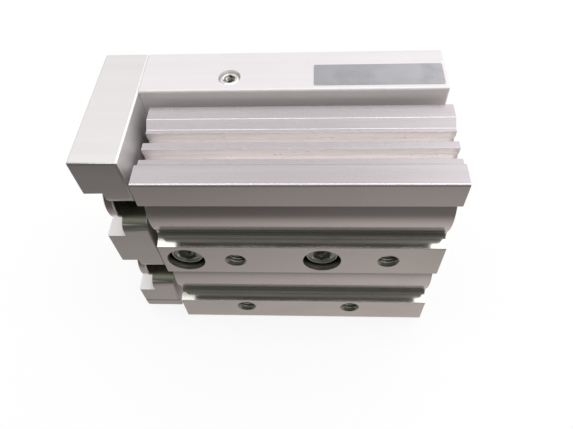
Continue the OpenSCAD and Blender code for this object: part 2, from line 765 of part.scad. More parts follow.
// Places of the magnet and the seal along the piston
function magnet_x() = piston_x0 + piston_len / 2 - magnet_len / 2;
function seal_x() = piston_x1 - seal_w - bumper_t;

module piston(side) placed() color([0.80, 0.79, 0.77]) at_bore(side) difference() {
    union() {
        bar_x(piston_x0, piston_x1, bore_d - 2 * slide_fit);
        bar_x(piston_nose_x, piston_x0, nose_d);
    }
    bar_x(chamber_x, piston_x1 - bumper_t, piston_pin_d + 2 * fit);
    piston_groove(magnet_x(), magnet_len);
    piston_groove(seal_x(), seal_w);
}
module upper_piston() piston(UPPER);
module lower_piston() piston(LOWER);

module piston_groove(x, w) {
    ring_x(x, x + w, bore_d + over, bore_d - 2 * slide_fit - 2 * groove_depth);
}

// Ring that lies in a groove of the piston
module groove_ring(x, w) {
    ring_x(x, x + w, bore_d - 2 * slide_fit, bore_d - 2 * slide_fit - 2 * groove_depth + 2 * fit);
}

module magnet(side) placed() color([0.18, 0.18, 0.19]) at_bore(side)
    groove_ring(magnet_x(), magnet_len);
module upper_magnet() magnet(UPPER);
module lower_magnet() magnet(LOWER);

module piston_seal(side) placed() color([0.08, 0.08, 0.09]) at_bore(side)
    groove_ring(seal_x(), seal_w);
module upper_piston_seal() piston_seal(UPPER);
module lower_piston_seal() piston_seal(LOWER);

// Rod cover behind the front retaining ring
module rod_cover(side) placed() color([0.78, 0.66, 0.38]) at_bore(side)
    ring_x(ring_inset + ring_t, ring_inset + ring_t + rod_cover_len, gland_d - 2 * fit,
        rod_d + 2 * slide_fit);
module upper_rod_cover() rod_cover(UPPER);
module lower_rod_cover() rod_cover(LOWER);

// Lip seal that fills the rest of the gland
module rod_seal(side) placed() color([0.08, 0.08, 0.09]) at_bore(side) {
    x0 = ring_inset + ring_t + rod_cover_len;
    ring_x(x0, gland_depth, gland_d - 2 * fit, rod_d + 2 * slide_fit);
}
module upper_rod_seal() rod_seal(UPPER);
module lower_rod_seal() rod_seal(LOWER);

module front_bumper(side) placed() color([0.15, 0.22, 0.20]) at_bore(side)
    ring_x(chamber_x, chamber_x + bumper_t, nose_d, rod_hole_d);
module upper_front_bumper() front_bumper(UPPER);
module lower_front_bumper() front_bumper(LOWER);

module rear_bumper(side) placed() color([0.15, 0.22, 0.20]) at_bore(side)
    bar_x(nose_x - bumper_t, nose_x, nose_d);
module upper_rear_bumper() rear_bumper(UPPER);
module lower_rear_bumper() rear_bumper(LOWER);

// Plug of the rear end, with a seal groove, a nose and a shallow dished back
module head_cap(side) placed() color([0.74, 0.74, 0.75]) at_bore(side) difference() {
    union() {
        bar_x(cap_x0, cap_x1, bore_d - 2 * fit);
        bar_x(nose_x, cap_x0, nose_d);
    }
    ring_x(cap_seal_x(), cap_seal_x() + cap_seal_w, bore_d + over, cap_groove_d());
    bar_x(cap_x1 - ring_t, cap_x1 + over, nose_d);
}
module upper_head_cap() head_cap(UPPER);
module lower_head_cap() head_cap(LOWER);
function cap_seal_x() = (cap_x0 + cap_x1 - ring_t - cap_seal_w) / 2;
function cap_groove_d() = bore_d - 2 * fit - 2 * cap_seal_w;

module cap_seal(side) placed() color([0.08, 0.08, 0.09]) at_bore(side)
    ring_x(cap_seal_x(), cap_seal_x() + cap_seal_w, bore_d - 2 * fit, cap_groove_d() + 2 * fit);
module upper_cap_seal() cap_seal(UPPER);
module lower_cap_seal() cap_seal(LOWER);

// Internal retaining ring: open at the top, with two eyes beside the opening
module retaining_ring(x, groove_d, hole_d) {
    rim = hole_d * 0.09;
    eye_d = hole_d * 0.17;
    eye_r = hole_d / 2 - eye_d / 2 - fit;
    along_x(x, x + ring_t) difference() {
        union() {
            difference() {
                circle(d = groove_d - 2 * fit);
                circle(d = hole_d - 2 * rim);
                translate([0, -eye_d / 2]) square([groove_d, eye_d]);
            }
            for (s = [-1, 1]) rotate(s * 12) intersection() {
                translate([eye_r, 0]) circle(d = eye_d);
                rotate(-s * 12) translate([0, s > 0 ? eye_d / 8 : -groove_d - eye_d / 8])
                    square([groove_d, groove_d]);
            }
        }
        for (s = [-1, 1]) rotate(s * 12) translate([eye_r, 0]) circle(d = eye_d * 0.4);
    }
}

module front_retaining_rings() placed() color([0.35, 0.35, 0.36])
    for (s = [LOWER, UPPER]) at_bore(s)
        retaining_ring(ring_inset, gland_d + 2 * ring_groove, gland_d);

module rear_retaining_rings() placed() color([0.35, 0.35, 0.36])
    for (s = [LOWER, UPPER]) at_bore(s)
        retaining_ring(cap_x1, bore_d + 2 * ring_groove, bore_d);

body();
table();
end_plate();
guide_rail();
guide_block();
guide_balls();
front_return_guide();
rear_return_guide();
front_scraper();
rear_scraper();
return_guide_screws();
guide_block_bolts();
rail_bolts();
end_plate_screws();
end_plate_pins();
side_set_screw();
label_plate();
rod_nuts();
upper_floating_bush();
lower_floating_bush();
upper_piston_rod();
lower_piston_rod();
upper_piston();
lower_piston();
upper_magnet();
lower_magnet();
upper_piston_seal();
lower_piston_seal();
upper_rod_cover();
lower_rod_cover();
upper_rod_seal();
lower_rod_seal();
upper_front_bumper();
lower_front_bumper();
upper_rear_bumper();
lower_rear_bumper();
upper_head_cap();
lower_head_cap();
upper_cap_seal();
lower_cap_seal();
front_retaining_rings();
rear_retaining_rings();
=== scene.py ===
import json
import math

import bpy
from bpy.props import FloatProperty, FloatVectorProperty, IntProperty, PointerProperty
from mathutils import Matrix, Vector

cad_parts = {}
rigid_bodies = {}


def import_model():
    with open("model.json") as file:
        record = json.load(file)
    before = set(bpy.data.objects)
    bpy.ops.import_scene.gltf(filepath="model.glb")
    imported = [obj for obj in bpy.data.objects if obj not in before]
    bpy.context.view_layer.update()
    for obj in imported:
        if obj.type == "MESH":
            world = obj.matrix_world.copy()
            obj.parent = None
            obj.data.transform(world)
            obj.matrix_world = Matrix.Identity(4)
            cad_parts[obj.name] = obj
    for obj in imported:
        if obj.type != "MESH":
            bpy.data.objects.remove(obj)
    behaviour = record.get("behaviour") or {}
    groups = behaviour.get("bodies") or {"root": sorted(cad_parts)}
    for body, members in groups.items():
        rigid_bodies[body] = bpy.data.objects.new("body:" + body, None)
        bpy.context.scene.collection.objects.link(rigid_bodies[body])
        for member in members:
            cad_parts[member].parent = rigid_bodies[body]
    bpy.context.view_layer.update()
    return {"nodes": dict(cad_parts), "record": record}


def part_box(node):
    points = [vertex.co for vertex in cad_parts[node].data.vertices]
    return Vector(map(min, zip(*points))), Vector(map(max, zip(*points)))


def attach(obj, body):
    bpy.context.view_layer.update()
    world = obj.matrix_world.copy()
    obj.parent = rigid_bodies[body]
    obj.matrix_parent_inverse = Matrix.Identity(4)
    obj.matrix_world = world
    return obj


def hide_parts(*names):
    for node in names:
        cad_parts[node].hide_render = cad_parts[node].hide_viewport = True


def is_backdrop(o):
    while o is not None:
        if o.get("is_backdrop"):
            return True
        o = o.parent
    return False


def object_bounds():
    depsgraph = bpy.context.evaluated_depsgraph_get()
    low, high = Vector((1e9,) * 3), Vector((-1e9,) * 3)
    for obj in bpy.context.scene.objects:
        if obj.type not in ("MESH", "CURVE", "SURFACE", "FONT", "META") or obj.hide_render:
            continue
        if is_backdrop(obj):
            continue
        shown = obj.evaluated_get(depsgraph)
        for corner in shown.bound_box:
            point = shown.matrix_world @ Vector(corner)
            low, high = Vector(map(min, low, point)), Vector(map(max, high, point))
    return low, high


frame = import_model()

bl_info = {
    "name": "Pneumatic Slide Table",
    "version": (1, 0, 0),
    "blender": (4, 5, 0),
    "location": "View3D > Sidebar > Slide Table",
    "description": "Models and finishes the pieces of a pneumatic slide table around its solids",
    "category": "Object",
}

MM, MICRON = 1e-3, 1e-6
SKIN = 0.01 * MM  # what lies this near to a plane lies in it
THREAD_DEPTH = 0.6134  # depth of a metric thread as a share of its pitch
FACING = 0.99  # share of a normal along an axis that counts as facing that way
ACROSS = 0.1  # share of a normal along an axis that counts as across it
X, Y, Z = Vector((1, 0, 0)), Vector((0, 1, 0)), Vector((0, 0, 1))
MOUNTS = {mount["name"]: mount for mount in frame["record"]["mounts"]}
HOUSING, SLIDER = "housing", "slide_table"


# ---------------------------------------------------------------- sizes and colours


def length(name, description, millimetres):
    """A size in a property group."""
    return FloatProperty(name=name, description=description, default=millimetres * MM, min=0,
                         precision=5, subtype="DISTANCE", unit="LENGTH")


def share(name, description, value):
    """A share of the thread diameter in a property group."""
    return FloatProperty(name=name, description=description, default=value, min=0, max=1,
                         subtype="FACTOR")


def colour(name, description, *value):
    """A colour in a property group."""
    return FloatVectorProperty(name=name, description=description, default=value, size=3,
                               min=0, max=1, subtype="COLOR")


class ChannelSettings(bpy.types.PropertyGroup):
    """Section of the two channels between the mounting lands."""

    half: length("Half width", "Half the width of a channel at its mouth", 9.84)
    depth: length("Depth", "Depth of the floor below the lands", 3.5)
    crest_half: length("Crest half width", "Half the width of the crest at the floor", 6.5)
    corner: length("Corner", "Height of the rounded corner between floor and side", 1.0)
    wall: length("Wall", "Width that a side and its rounded corner take up", 2.6)
    ease: length("Ease", "Shift of the corner that stands the lowest side steeper", 0.15)
    blend: length("Blend", "Width of the fillet at the foot of the crest", 0.9)


class EdgeSettings(bpy.types.PropertyGroup):
    """How far sharp edges are broken, and the marks of the end plate."""

    machined: length("Machined edges", "Rounding of the milled and extruded edges", 0.12)
    chamfers: length("Chamfers", "Width that each side of a chamfer is rounded over", 0.26)
    fine: length("Fine edges", "Rounding of the edges of small parts", 0.06)
    segments: IntProperty(
        name="Segments", description="Facets across each rounded edge", default=2, min=1, max=4)
    tabs: length("Tabs", "Rounding of the lower outer corners of the end plate's tabs", 0.8)
    foot: length("Foot", "Rounding of the lowest outer corner of the end plate", 2.2)
    line_height: length("Line height", "Height of the scribed line on the lowest tab", 4.9)
    line_width: length("Line width", "Width of the scribed line", 0.35)
    line_depth: length("Line depth", "Depth of the scribed line", 0.5)


class ThreadSettings(bpy.types.PropertyGroup):
    """Sizes of the tapped holes."""

    m6_pitch: length("M6 pitch", "Pitch of the M6 threads", 1.0)
    m5_pitch: length("M5 pitch", "Pitch of the M5 threads", 0.8)
    pipe_pitch: length("Pipe pitch", "Pitch of the air port threads", 0.907)
    pipe_r: length("Pipe radius", "Outer radius of the air port threads", 4.86)
    middle_depth: length("Middle land depth", "Depth of the holes of the middle land", 12)
    lower_depth: length("Lower land depth", "Depth of the holes of the lower land", 9.5)
    table_depth: length("Table depth", "Depth of the tapped holes of the table", 10)
    plate_depth: length("End plate depth", "Depth of the tapped holes of the end plate", 9)
    port_depth: length("Port depth", "Depth of the air ports", 8.5)
    steps: IntProperty(
        name="Steps", description="Facets in one turn of a thread", default=28, min=12, max=64)


class ScrewSettings(bpy.types.PropertyGroup):
    """Sizes of the screws."""

    key_depth: share("Key depth", "Depth of a hex socket, of the thread diameter", 0.5)
    bevel: share("Head bevel", "Rounding of a screw head, of the thread diameter", 0.15)
    ribs: IntProperty(
        name="Ribs", description="Ribs of the knurl round a screw head", default=40, min=16, max=60)
    knurl: length("Knurl", "Depth of the knurl", 0.09)
    key_turn: FloatProperty(
        name="Key turn", description="Turn that keeps a socket's corners clear of turned edges",
        default=math.radians(0.9), subtype="ANGLE")


class FinishSettings(bpy.types.PropertyGroup):
    """Colours of the finishes, most of them clear anodising; some of them are painted light and
    painted shade, as marked.
    """

    body: colour("Body", "Drawn sides of the body", 0.60, 0.575, 0.59)
    table: colour("Table", "Table and face of the end plate", 0.745, 0.73, 0.735)
    # Grooves: painted light, lighter than the drawn sides to stand in for the light reflected
    # inside the switch grooves
    groove: colour("Grooves", "Inside of the switch grooves", 0.885, 0.85, 0.84)
    crest: colour("Crests", "Crests of the bore walls", 0.54, 0.525, 0.51)
    # Channel floors and sides: dark colours as painted shade in the recesses of the channels
    floor: colour("Channel floors", "Floors of the channels", 0.27, 0.265, 0.235)
    channel: colour("Channel sides", "Sides of the channels", 0.27, 0.265, 0.24)
    # Notches: dark olive as painted shade on the notch faces turned upwards and on the scribed line
    notch: colour("Notches", "Inside of the notches of the end plate", 0.26, 0.27, 0.215)
    # Notch ends: a light colour as painted light on the downward faces of the notches, which lie in
    # deep shade
    notch_end: colour("Notch ends", "Round inner ends of the notches", 0.95, 1.0, 0.72)
    # Drilled holes: dark as painted shade inside the holes of the body
    drilled: colour("Drilled holes", "Inside of the holes of the body", 0.28, 0.285, 0.24)
    plate: colour("End plate", "Sides of the end plate", 0.82, 0.82, 0.805)
    # End plate front: darker than the sides as painted shade on the faces turned to the front
    front: colour("End plate front", "Notched side of the end plate", 0.485, 0.485, 0.475)
    # Table edge: lighter than the table as painted light on the strip in the shade of the gap above
    # the body
    edge: colour("Table edge", "Narrow strip below the table", 0.9, 0.87, 0.86)
    milled: colour("Milled faces", "Milled and sawn faces of the body", 0.56, 0.54, 0.52)
    steel: colour("Steel", "Ground guide steel", 0.55, 0.56, 0.58)
    zinc: colour("Screws", "Plated screws", 0.52, 0.54, 0.50)
    bronze: colour("Bearing alloy", "Turned rod covers and bushes", 0.20, 0.165, 0.095)
    resin: colour("Resin", "Moulded return guides", 0.035, 0.038, 0.042)
    foil: colour("Foil", "Label plate", 0.50, 0.51, 0.53)


class StageSettings(bpy.types.PropertyGroup):
    """Floor, light and camera."""

    floor: colour("Floor", "Colour of the floor", 0.90, 0.90, 0.90)
    bounce: colour("Floor bounce", "Light that the floor gives back", 0.62, 0.56, 0.54)
    sky: colour("Room", "Light of the room above and behind", 0.80, 0.775, 0.785)
    front: colour("Room in front", "Dim side of the room", 0.075, 0.08, 0.06)
    lamp_power: FloatProperty(
        name="Lamp power", description="Power of the softbox overhead", default=1.3, min=0,
        unit="POWER")
    lamp_place: FloatVectorProperty(
        name="Lamp", description="Place of the softbox overhead", subtype="TRANSLATION", size=3,
        default=(0.06, 0.01, 0.62), precision=5)
    lamp_size: FloatVectorProperty(
        name="Lamp size", description="Length and width of the softbox", size=2,
        default=(0.8, 0.12), unit="LENGTH")
    camera_place: FloatVectorProperty(
        name="Camera", description="Place of the camera", subtype="TRANSLATION", size=3,
        default=(0.01211, -0.09926, 0.16882), precision=5)
    camera_turn: FloatVectorProperty(
        name="Camera rotation", description="Rotation of the camera", subtype="EULER", size=3,
        default=(math.radians(35.746), math.radians(2.5413), math.radians(1.9765)))
    camera_lens: FloatProperty(
        name="Lens", description="Focal length of the camera in millimetres", default=32.15,
        min=10, max=200)


SETTINGS = {
    "edges": EdgeSettings, "channels": ChannelSettings, "threads": ThreadSettings,
    "screws": ScrewSettings, "finish": FinishSettings, "stage": StageSettings,
}


def setting(group):
    return getattr(bpy.context.scene, "slide_table_" + group)


# ---------------------------------------------------------------- modelling helpers


def deselect():
    """Leaves edit mode and selects nothing."""
    active = bpy.context.view_layer.objects.active
    if active is not None and active.mode != "OBJECT":
        leave_edit()
    bpy.ops.object.select_all(action="DESELECT")


def activate(piece):
    deselect()
    piece.select_set(True)
    bpy.context.view_layer.objects.active = piece
    return piece


def select_parts(piece, verts=None, edges=None, faces=None):
    """Selects the vertices, edges or faces of a piece that a test picks, and enters edit mode."""
    mode, kind, test = (("VERT", "vertices", verts) if verts else ("EDGE", "edges", edges)
                        if edges else ("FACE", "polygons", faces))
    activate(piece)
    bpy.ops.object.mode_set(mode="EDIT")
    bpy.ops.mesh.select_mode(type=mode)
    bpy.ops.mesh.select_all(action="DESELECT")
    leave_edit()
    for part in getattr(piece.data, kind):
        part.select = test(part)
    bpy.ops.object.mode_set(mode="EDIT")


def everything(part):
    return True


def leave_edit():
    bpy.ops.object.mode_set(mode="OBJECT")


def bevel_edges(piece, test, width, segments):
    """Bevels the edges of a piece that a test picks."""
    select_parts(piece, edges=test)
    bpy.ops.mesh.bevel(offset=width, segments=segments, affect="EDGES")
    leave_edit()


def apply_modifier(piece, kind, name, **values):
    """Adds a modifier with these values to a piece and applies it."""
    activate(piece)
    modifier = piece.modifiers.new(name, kind)
    for key, value in values.items():
        setattr(modifier, key, value)
    bpy.ops.object.modifier_apply(modifier=modifier.name)


def cut(piece, cutter, operation="DIFFERENCE"):
    """Cuts a shape out of a piece, or joins or crosses them, and removes the shape."""
    apply_modifier(piece, "BOOLEAN", "Cut", object=cutter, operation=operation, solver="EXACT")
    bpy.data.objects.remove(cutter)


def place(piece, matrix):
    """Puts a piece where the matrix says, with its place in its mesh."""
    activate(piece)
    piece.matrix_world = matrix @ piece.matrix_world
    bpy.ops.object.transform_apply(location=True, rotation=True, scale=True)
    return piece


def along(point, direction):
    """Matrix that turns +Z to a direction and moves the origin to a point."""
    turn = Vector(direction).to_track_quat("Z", "Y").to_matrix().to_4x4()
    return Matrix.Translation(Vector(point)) @ turn


def named(piece, name):
    piece.name = piece.data.name = name
    return piece


def block(name, size, centre):
    """A plain block with its place in its mesh."""
    deselect()
    bpy.ops.mesh.primitive_cube_add(size=1)
    piece = named(bpy.context.view_layer.objects.active, name)
    piece.scale = size
    return place(piece, Matrix.Translation(centre))


def join(name, parts):
    """Joins parts to one piece with a name."""
    activate(parts[0])
    for part in parts:
        part.select_set(True)
    if len(parts) > 1:
        bpy.ops.object.join()
    return named(bpy.context.view_layer.objects.active, name)


def twins(name, part, matrices):
    """Copies of a part, each with its own mesh, joined to one piece. The part is removed."""
    copies = []
    for matrix in matrices:
        copy = part.copy()
        copy.data = part.data.copy()
        bpy.context.scene.collection.objects.link(copy)
        copies.append(place(copy, matrix))
    bpy.data.objects.remove(part)
    return join(name, copies)


def clean_up(piece, merge=MICRON):
    """Merges doubles and turns all faces outwards."""
    select_parts(piece, verts=everything)
    bpy.ops.mesh.remove_doubles(threshold=merge)
    bpy.ops.mesh.normals_make_consistent(inside=False)
    leave_edit()


def even_shading(piece, angle=50):
    """Smooth shading that keeps flat faces flat up to their rounded edges."""
    activate(piece)
    bpy.ops.object.shade_smooth_by_angle(angle=math.radians(angle))
    apply_modifier(piece, "WEIGHTED_NORMAL", "Weighted", keep_sharp=True, weight=80)


def faces_of_edges(mesh):
    table = {}
    for face in mesh.polygons:
        for key in face.edge_keys:
            table.setdefault(key, []).append(face)
    return table


def crease(edge_faces, edge):
    """Angle between the two faces of an edge, in degrees."""
    faces = edge_faces.get(edge.key, ())
    if len(faces) != 2:
        return 0
    return math.degrees(faces[0].normal.angle(faces[1].normal, 0))


def round_chamfers(piece, width):
    """Turns the narrow chamfers along the edges of a box into full rounds."""
    near = faces_of_edges(piece.data)

    def slanted(face):
        return sorted(round(abs(part), 2) for part in face.normal)[1:] == [0.71, 0.71]

    def on_chamfer(edge):
        return 40 < crease(near, edge) < 50 and any(slanted(face) for face in near[edge.key])

    bevel_edges(piece, on_chamfer, width, 3)


def keep_within(piece, low, high):
    """Flattens the corners that a rounding pushed out of a solid's box onto its sides."""
    for axis in range(3):
        flat = [0 if axis == index else 1 for index in range(3)]
        for side, way in ((low, -1), (high, 1)):
            def beyond(vert):
                return way * (vert.co[axis] - side[axis]) > SKIN

            if any(beyond(vert) for vert in piece.data.vertices):
                select_parts(piece, verts=beyond)
                bpy.ops.transform.resize(value=flat, center_override=side)
                leave_edit()


def rounded_copy(node, name, width, chamfers=0, blend=None, sharp=None):
    """A merged copy of a solid with its edges broken, apart from those that a test keeps sharp."""
    angle, flat = 30, math.radians(0.4)
    piece = named(bpy.data.objects.new(name, frame["nodes"][node].data.copy()), name)
    bpy.context.scene.collection.objects.link(piece)
    piece.data.materials.clear()
    while piece.data.uv_layers:
        piece.data.uv_layers.remove(piece.data.uv_layers[0])
    activate(piece)
    bpy.ops.mesh.customdata_custom_splitnormals_clear()
    select_parts(piece, verts=everything)
    bpy.ops.mesh.remove_doubles(threshold=MICRON)
    bpy.ops.mesh.dissolve_limited(angle_limit=flat)
    leave_edit()
    if blend:
        blend(piece)
    if chamfers:
        round_chamfers(piece, chamfers)
    if sharp:
        near, verts = faces_of_edges(piece.data), piece.data.vertices
        weights = piece.data.attributes.new("bevel_weight_edge", "FLOAT", "EDGE")
        for edge, weight in zip(piece.data.edges, weights.data):
            weight.value = crease(near, edge) > angle and not sharp(
                *(verts[index].co for index in edge.vertices))
    apply_modifier(piece, "BEVEL", "Rounding", width=width, segments=setting("edges").segments,
                   limit_method="WEIGHT" if sharp else "ANGLE", angle_limit=math.radians(angle),
                   use_clamp_overlap=False, miter_outer="MITER_SHARP")
    return piece


def open_line(name, points):
    """A line of edges through points given as radius and height, in the XZ plane."""
    deselect()
    last = len(points)
    bpy.ops.mesh.primitive_circle_add(vertices=last + 1, radius=1, fill_type="NOTHING")
    line = named(bpy.context.view_layer.objects.active, name)
    select_parts(line, verts=lambda vert: vert.index == last)
    bpy.ops.mesh.delete(type="VERT")
    leave_edit()
    for vert, (radius, height) in zip(line.data.vertices, points):
        vert.co = (radius, 0, height)
    return line


def turned(name, profile, steps=64):
    """A turned part about the Z axis from a profile of radius and height."""
    part = open_line(name, profile)
    select_parts(part, verts=everything)
    bpy.ops.mesh.spin(steps=steps, angle=2 * math.pi, center=(0, 0, 0), axis=(0, 0, 1))
    leave_edit()
    clean_up(part, merge=MICRON / 10)
    return part


def thread(name, inner_r, outer_r, pitch, start, end, steps, inside=True):
    """The wall of a thread between two heights, with its crests worn at the mouth."""
    crest, root = (inner_r, outer_r) if inside else (outer_r, inner_r)
    flat = pitch / 8
    part = open_line(name, [(root, 0), (crest, pitch / 2 - flat), (crest, pitch / 2 + flat),
                            (root, pitch)])
    turns = math.ceil((end - start) / pitch) + 1
    apply_modifier(part, "SCREW", "Thread", axis="Z", steps=steps, render_steps=steps,
                   screw_offset=pitch, iterations=turns, use_merge_vertices=True,
                   merge_threshold=MICRON / 10, use_smooth_shade=False)
    depth = outer_r - inner_r
    for vert in part.data.vertices:
        vert.co.z += start - pitch
        radius = vert.co.xy.length
        ease = min(1, max(0, (vert.co.z - start) / depth))
        if not inside:
            ease = min(ease, max(0, (end - vert.co.z) / depth))
        worn = root + (radius - root) * ease
        vert.co.x *= worn / radius
        vert.co.y *= worn / radius
        vert.co.z = min(end, max(start, vert.co.z))
    clean_up(part)
    return part


def hex_key(width, depth, rim):
    """Cutter of a hex socket from height 0 up to its depth, with a drilled point and a rim."""
    across = width / 2 / math.cos(math.pi / 6)
    lead, point, tip = width / 5, width / 4, 0.12
    turn = setting("screws").key_turn
    deselect()
    bpy.ops.mesh.primitive_cylinder_add(vertices=6, radius=across, depth=depth + lead,
                                        location=(0, 0, (depth - lead) / 2),
                                        rotation=(0, 0, math.radians(1.7)))
    key = bpy.context.view_layer.objects.active
    place(key, Matrix.Identity(4))
    top = depth - width / 50
    select_parts(key, faces=lambda face: face.center.z > top)
    bpy.ops.mesh.extrude_region_move(TRANSFORM_OT_translate={"value": (0, 0, point)})
    bpy.ops.transform.resize(value=(tip, tip, 1), center_override=(0, 0, depth + point))
    leave_edit()
    mouth = turned("Mouth", [(0, -lead), (across + rim + lead, -lead),
                             (across - lead / 8, rim + lead / 8), (0, rim + lead / 8)], 48)
    cut(key, mouth, "UNION")
    return place(key, Matrix.Rotation(turn, 4, "Z"))


def paint(piece, *names):
    """Gives a piece these finishes, the first one on all faces."""
    piece.data.materials.clear()
    for name in names:
        piece.data.materials.append(bpy.data.materials[name])


def paint_faces(piece, index, test):
    """Gives the faces that a test picks the finish at an index."""
    for face in piece.data.polygons:
        if test(face):
            face.material_index = index


# ---------------------------------------------------------------- finishes


def wire(tree, *sockets):
    """Links each output to the input that follows it."""
    for source, target in zip(sockets[::2], sockets[1::2]):
        tree.links.new(source, target)


def add_node(tree, kind, **values):
    """Adds a shader node. Names of inputs set their default, other names set properties."""
    node = tree.nodes.new("ShaderNode" + kind)
    for key, value in values.items():
        label = key.replace("_", " ")
        if label in node.inputs:
            node.inputs[label].default_value = value
        else:
            setattr(node, key, value)
    return node


def new_group(name, inputs, outputs):
    """A shader node group with named sockets, and the sockets at its two ends."""
    group = bpy.data.node_groups.new(name, "ShaderNodeTree")
    for label, value in {"Vector": (0, 0, 0), **inputs}.items():
        kind = "NodeSocketVector" if isinstance(value, tuple) else "NodeSocketFloat"
        socket = group.interface.new_socket(label, in_out="INPUT", socket_type=kind)
        socket.default_value = value
    for label in outputs:
        group.interface.new_socket(label, in_out="OUTPUT", socket_type="NodeSocketFloat")
    return (group, group.nodes.new("NodeGroupInput").outputs,
            group.nodes.new("NodeGroupOutput").inputs)


def make_groups():
    """Builds the node groups that the finishes share."""
    # grain: noise stretched by a scale in each direction
    group, start, end = new_group("Grain", {"Scale": (1, 1, 1), "Detail": 3}, ["Height"])
    scaled = add_node(group, "VectorMath", operation="MULTIPLY")
    noise = add_node(group, "TexNoise", Scale=1.0, Roughness=0.6)
    wire(group, start["Vector"], scaled.inputs[0], start["Scale"], scaled.inputs[1],
         scaled.outputs[0], noise.inputs["Vector"], start["Detail"], noise.inputs["Detail"],
         noise.outputs["Fac"], end["Height"])

    # rings of turning or face milling round an axis, given by a centre and a flattening
    group, start, end = new_group(
        "Tool Rings", {"Centre": (0, 0, 0), "Across": (1, 1, 0), "Rings": 4000}, ["Height"])
    moved = add_node(group, "VectorMath", operation="SUBTRACT")
    flat = add_node(group, "VectorMath", operation="MULTIPLY")
    radius = add_node(group, "VectorMath", operation="LENGTH")
    turns = add_node(group, "Math", operation="MULTIPLY")
    noise = add_node(group, "TexNoise", noise_dimensions="1D", Scale=1.0, Detail=2.0)
    wire(group, start["Vector"], moved.inputs[0], start["Centre"], moved.inputs[1],
         moved.outputs[0], flat.inputs[0], start["Across"], flat.inputs[1],
         flat.outputs[0], radius.inputs[0], radius.outputs["Value"], turns.inputs[0],
         start["Rings"], turns.inputs[1], turns.outputs[0], noise.inputs["W"],
         noise.outputs["Fac"], end["Height"])

    # soft smudges and thin scratches from handling
    group, start, end = new_group(
        "Handling Marks", {"Smudge Size": 60, "Scratch Size": 300}, ["Smudges", "Scratches"])
    cloud = add_node(group, "TexNoise", Detail=4.0, Roughness=0.55)
    soft = add_node(group, "MapRange", interpolation_type="SMOOTHSTEP", From_Min=0.45,
                    From_Max=0.72)
    bent = add_node(group, "Mapping", vector_type="TEXTURE", Rotation=(0.5, 0.9, 0.35),
                    Scale=(1.0, 0.03, 0.6))
    lines = add_node(group, "TexNoise", Detail=1.0)
    thin = add_node(group, "MapRange", From_Min=0.71, From_Max=0.76)
    wire(group, start["Vector"], cloud.inputs["Vector"], start["Smudge Size"],
         cloud.inputs["Scale"], cloud.outputs["Fac"], soft.inputs["Value"],
         soft.outputs["Result"], end["Smudges"], start["Vector"], bent.inputs["Vector"],
         bent.outputs["Vector"], lines.inputs["Vector"], start["Scratch Size"],
         lines.inputs["Scale"], lines.outputs["Fac"], thin.inputs["Value"],
         thin.outputs["Result"], end["Scratches"])


class Finish:
    """Builds one material: a surface shader fed by colour, roughness and height patterns."""

    def __init__(self, name, tint, metallic, roughness):
        self.material = bpy.data.materials.new(name)
        self.material.use_nodes = True
        self.material.diffuse_color = (*tint, 1)
        self.tree = self.material.node_tree
        self.shader = self.tree.nodes["Principled BSDF"]
        self.shader.inputs["Metallic"].default_value = metallic
        self.shader.inputs["Roughness"].default_value = roughness
        self.tint, self.roughness = Vector(tint), roughness
        self.place = add_node(self.tree, "TexCoord").outputs["Object"]
        self.sums = {}

    def group(self, name, **values):
        """Places a shared group with its own values and gives its outputs."""
        node = self.tree.nodes.new("ShaderNodeGroup")
        node.node_tree = bpy.data.node_groups[name]
        for key, value in values.items():
            node.inputs[key.replace("_", " ")].default_value = value
        wire(self.tree, self.place, node.inputs["Vector"])
        return node.outputs

    def grain(self, scale, detail):
        scale = scale if isinstance(scale, tuple) else (scale,) * 3
        return self.group("Grain", Scale=scale, Detail=float(detail))["Height"]

    def rings(self, centre, across, count):
        return self.group("Tool Rings", Centre=centre, Across=across,
                          Rings=float(count))["Height"]

    def marks(self, smudge_size, scratch_size):
        marks = self.group("Handling Marks", Smudge_Size=float(smudge_size),
                           Scratch_Size=float(scratch_size))
        return marks["Smudges"], marks["Scratches"]

    def layers(self, kind, operation, patterns):
        """Adds up or multiplies patterns from 0 to 1, each spread between two values."""
        for source, low, high in zip(patterns[::3], patterns[1::3], patterns[2::3]):
            spread = add_node(self.tree, "MapRange", clamp=False, To_Min=low, To_Max=high)
            wire(self.tree, source, spread.inputs["Value"])
            result = spread.outputs["Result"]
            if kind in self.sums:
                total = add_node(self.tree, "Math", operation=operation)
                wire(self.tree, self.sums[kind], total.inputs[0], result, total.inputs[1])
                result = total.outputs[0]
            self.sums[kind] = result

    def shade(self, *patterns):
        """Makes the colour lighter and darker with patterns."""
        self.layers("shade", "MULTIPLY", patterns)
        mix = add_node(self.tree, "VectorMath", operation="SCALE")
        mix.inputs[0].default_value = self.tint
        wire(self.tree, self.sums["shade"], mix.inputs["Scale"],
             mix.outputs[0], self.shader.inputs["Base Color"])

    def rub(self, *patterns):
        """Makes the surface rougher and smoother with patterns."""
        self.layers("rub", "ADD", patterns)
        base = add_node(self.tree, "Math", operation="ADD", use_clamp=True)
        base.inputs[1].default_value = self.roughness
        wire(self.tree, self.sums["rub"], base.inputs[0],
             base.outputs[0], self.shader.inputs["Roughness"])

    def relief(self, *heights):
        """Raises and lowers the surface with patterns, each with a height in micrometres."""
        patterns = []
        for source, height in zip(heights[::2], heights[1::2]):
            patterns += [source, -height * MICRON, height * MICRON]
        self.layers("relief", "ADD", patterns)
        bump = add_node(self.tree, "Bump", Strength=1.0, Distance=1.0)
        wire(self.tree, self.sums["relief"], bump.inputs["Height"],
             bump.outputs["Normal"], self.shader.inputs["Normal"])


